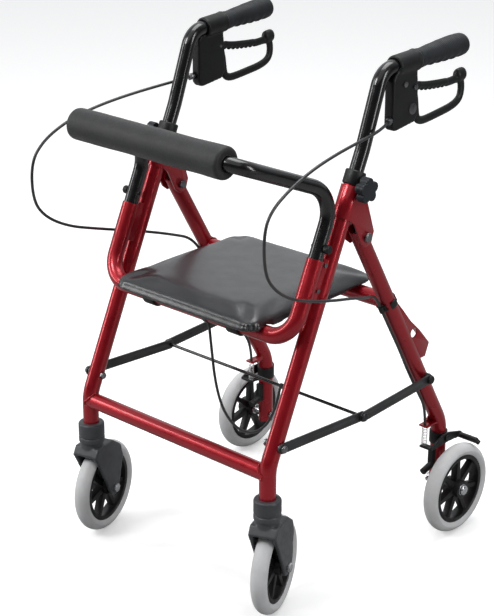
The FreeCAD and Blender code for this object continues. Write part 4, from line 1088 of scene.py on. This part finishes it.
def make_seat():
    """The pad as its solid has it, remeshed, blown up as cloth and gathered at its corners."""
    lo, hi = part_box("seat_pad")
    board_lo, board_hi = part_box("seat_board")
    mesh = merged_copy("seat_pad")
    centre = (lo + hi) / 2
    padding = hi.z - board_hi.z
    side_shrink, top_shrink = 0.0022, 0.003
    even_voxel, board_margin, swell_by = 0.0042, 0.003, 0.0050
    for vertex in mesh.vertices:
        co = vertex.co
        if abs(co.x) > hi.x - pad_corner_r and co.z > board_hi.z:
            co.x -= math.copysign(side_shrink, co.x)
        if abs(co.y - centre.y) > hi.y - centre.y - pad_corner_r and co.z > board_hi.z:
            co.y -= math.copysign(side_shrink, co.y - centre.y)
        if co.z > board_hi.z + mm:
            co.z -= top_shrink * (co.z - board_hi.z) / padding
    piece = put("seat_cushion", mesh, vinyl)
    remesh = piece.modifiers.new("even", "REMESH")
    remesh.mode = "VOXEL"
    remesh.voxel_size = even_voxel
    made = applied(piece)
    roll, hem_drop, hem_push = 0.055, 0.0018, 0.0016
    for vertex in made.vertices:
        co = vertex.co
        height = max(0.0, (co.z - board_hi.z) / padding)
        middle = 1 - 0.6 * (abs(co.x) / hi.x) ** 4
        falls = ((co.y - lo.y, 0.0050 * middle), (hi.x - abs(co.x), 0.0026), (hi.y - co.y, 0.0012))
        for edge, fall in falls:
            co.z -= fall * max(0.0, 1 - max(edge, 0.0) / roll) ** 3 * height
        front = max(0.0, 1 - (co.y - lo.y) / 0.02)
        if co.z < board_hi.z and front > 0:
            co.z -= hem_drop * front * max(0.0, 1 - (abs(co.x) / hi.x) ** 6)
            co.y -= hem_push * front * max(0.0, 1 - (abs(co.x) / hi.x) ** 4)

    def stays_put(co):
        under = co.z < board_hi.z + 0.0012
        inside = all(board_lo[i] - board_margin < co[i] < board_hi[i] + board_margin for i in (0, 1))
        return (under and inside) or co.z < board_hi.z - 0.004

    swell(piece, stays_put, swell_by)
    relax = piece.modifiers.new("relax", "SMOOTH")
    relax.factor = 0.5
    relax.iterations = 14
    finer = piece.modifiers.new("finer", "SUBSURF")
    finer.levels = finer.render_levels = 1
    applied(piece)
    pleat(piece, lo, hi)
    for face in piece.data.polygons:
        face.use_smooth = True
    piece.data.materials.clear()
    piece.data.materials.append(vinyl)
    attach(piece, "seat")
    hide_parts("seat_pad")


make_seat()


# ---- studio ------------------------------------------------------------------------------------
def make_studio():
    size = 30.0
    mesh = bpy.data.meshes.new("floor")
    corners = [(-size, -size, 0), (size, -size, 0), (size, size, 0), (-size, size, 0)]
    mesh.from_pydata(corners, [], [(0, 1, 2, 3)])
    floor = put("floor", mesh, floor_finish())
    floor.location.z = -0.0004

    world = bpy.data.worlds.new("studio")
    bpy.context.scene.world = world
    world.use_nodes = True
    nodes, links = world.node_tree.nodes, world.node_tree.links
    surround = nodes["Background"]
    direction = nodes.new("ShaderNodeTexCoord").outputs["Generated"]
    facing = nodes.new("ShaderNodeVectorMath")
    facing.operation = "DOT_PRODUCT"
    facing.inputs[1].default_value = (-0.55, 0.62, 0.56)
    strength = nodes.new("ShaderNodeMapRange")
    strength.inputs["From Min"].default_value = 0.1
    strength.inputs["From Max"].default_value = 0.9
    strength.inputs["To Min"].default_value = 0.04
    strength.inputs["To Max"].default_value = 0.80
    links.new(direction, facing.inputs[0])
    links.new(facing.outputs["Value"], strength.inputs["Value"])
    links.new(strength.outputs["Result"], surround.inputs["Strength"])
    surround.inputs["Color"].default_value = (0.96, 0.98, 1.0, 1.0)
    pale = nodes.new("ShaderNodeBackground")
    pale.inputs["Color"].default_value = (0.95, 0.95, 0.95, 1.0)
    seen = nodes.new("ShaderNodeMixShader")
    links.new(nodes.new("ShaderNodeLightPath").outputs["Is Camera Ray"], seen.inputs["Fac"])
    links.new(surround.outputs["Background"], seen.inputs[1])
    links.new(pale.outputs["Background"], seen.inputs[2])
    links.new(seen.outputs["Shader"], nodes["World Output"].inputs["Surface"])

    def area(name, place, aim, width, height, power):
        data = bpy.data.lights.new(name, "AREA")
        data.shape = "RECTANGLE"
        data.size, data.size_y = width, height
        data.energy = power
        light = bpy.data.objects.new(name, data)
        light.location = place
        light.rotation_euler = (Vector(aim) - Vector(place)).to_track_quat("-Z", "Y").to_euler()
        bpy.context.scene.collection.objects.link(light)

    area("key_softbox", (-0.7, -2.4, 2.5), (0, 0, 0.4), 0.9, 0.9, 40)
    area("right_strip", (2.8, 0.3, 1.5), (0, 0, 0.45), 0.5, 2.2, 30)
    area("left_strip", (-2.2, -1.7, 1.3), (0, 0, 0.45), 0.5, 2.0, 24)
    area("top_softbox", (-0.1, 0.5, 3.2), (0, 0, 0.3), 1.8, 1.8, 44)
    data = bpy.data.lights.new("broad_fill", "SUN")
    data.energy = 0.5
    data.angle = math.radians(60)
    fill = bpy.data.objects.new("broad_fill", data)
    fill.rotation_euler = (math.radians(32), 0, math.radians(28))
    bpy.context.scene.collection.objects.link(fill)
    bpy.context.scene.view_settings.view_transform = "Standard"


make_studio()
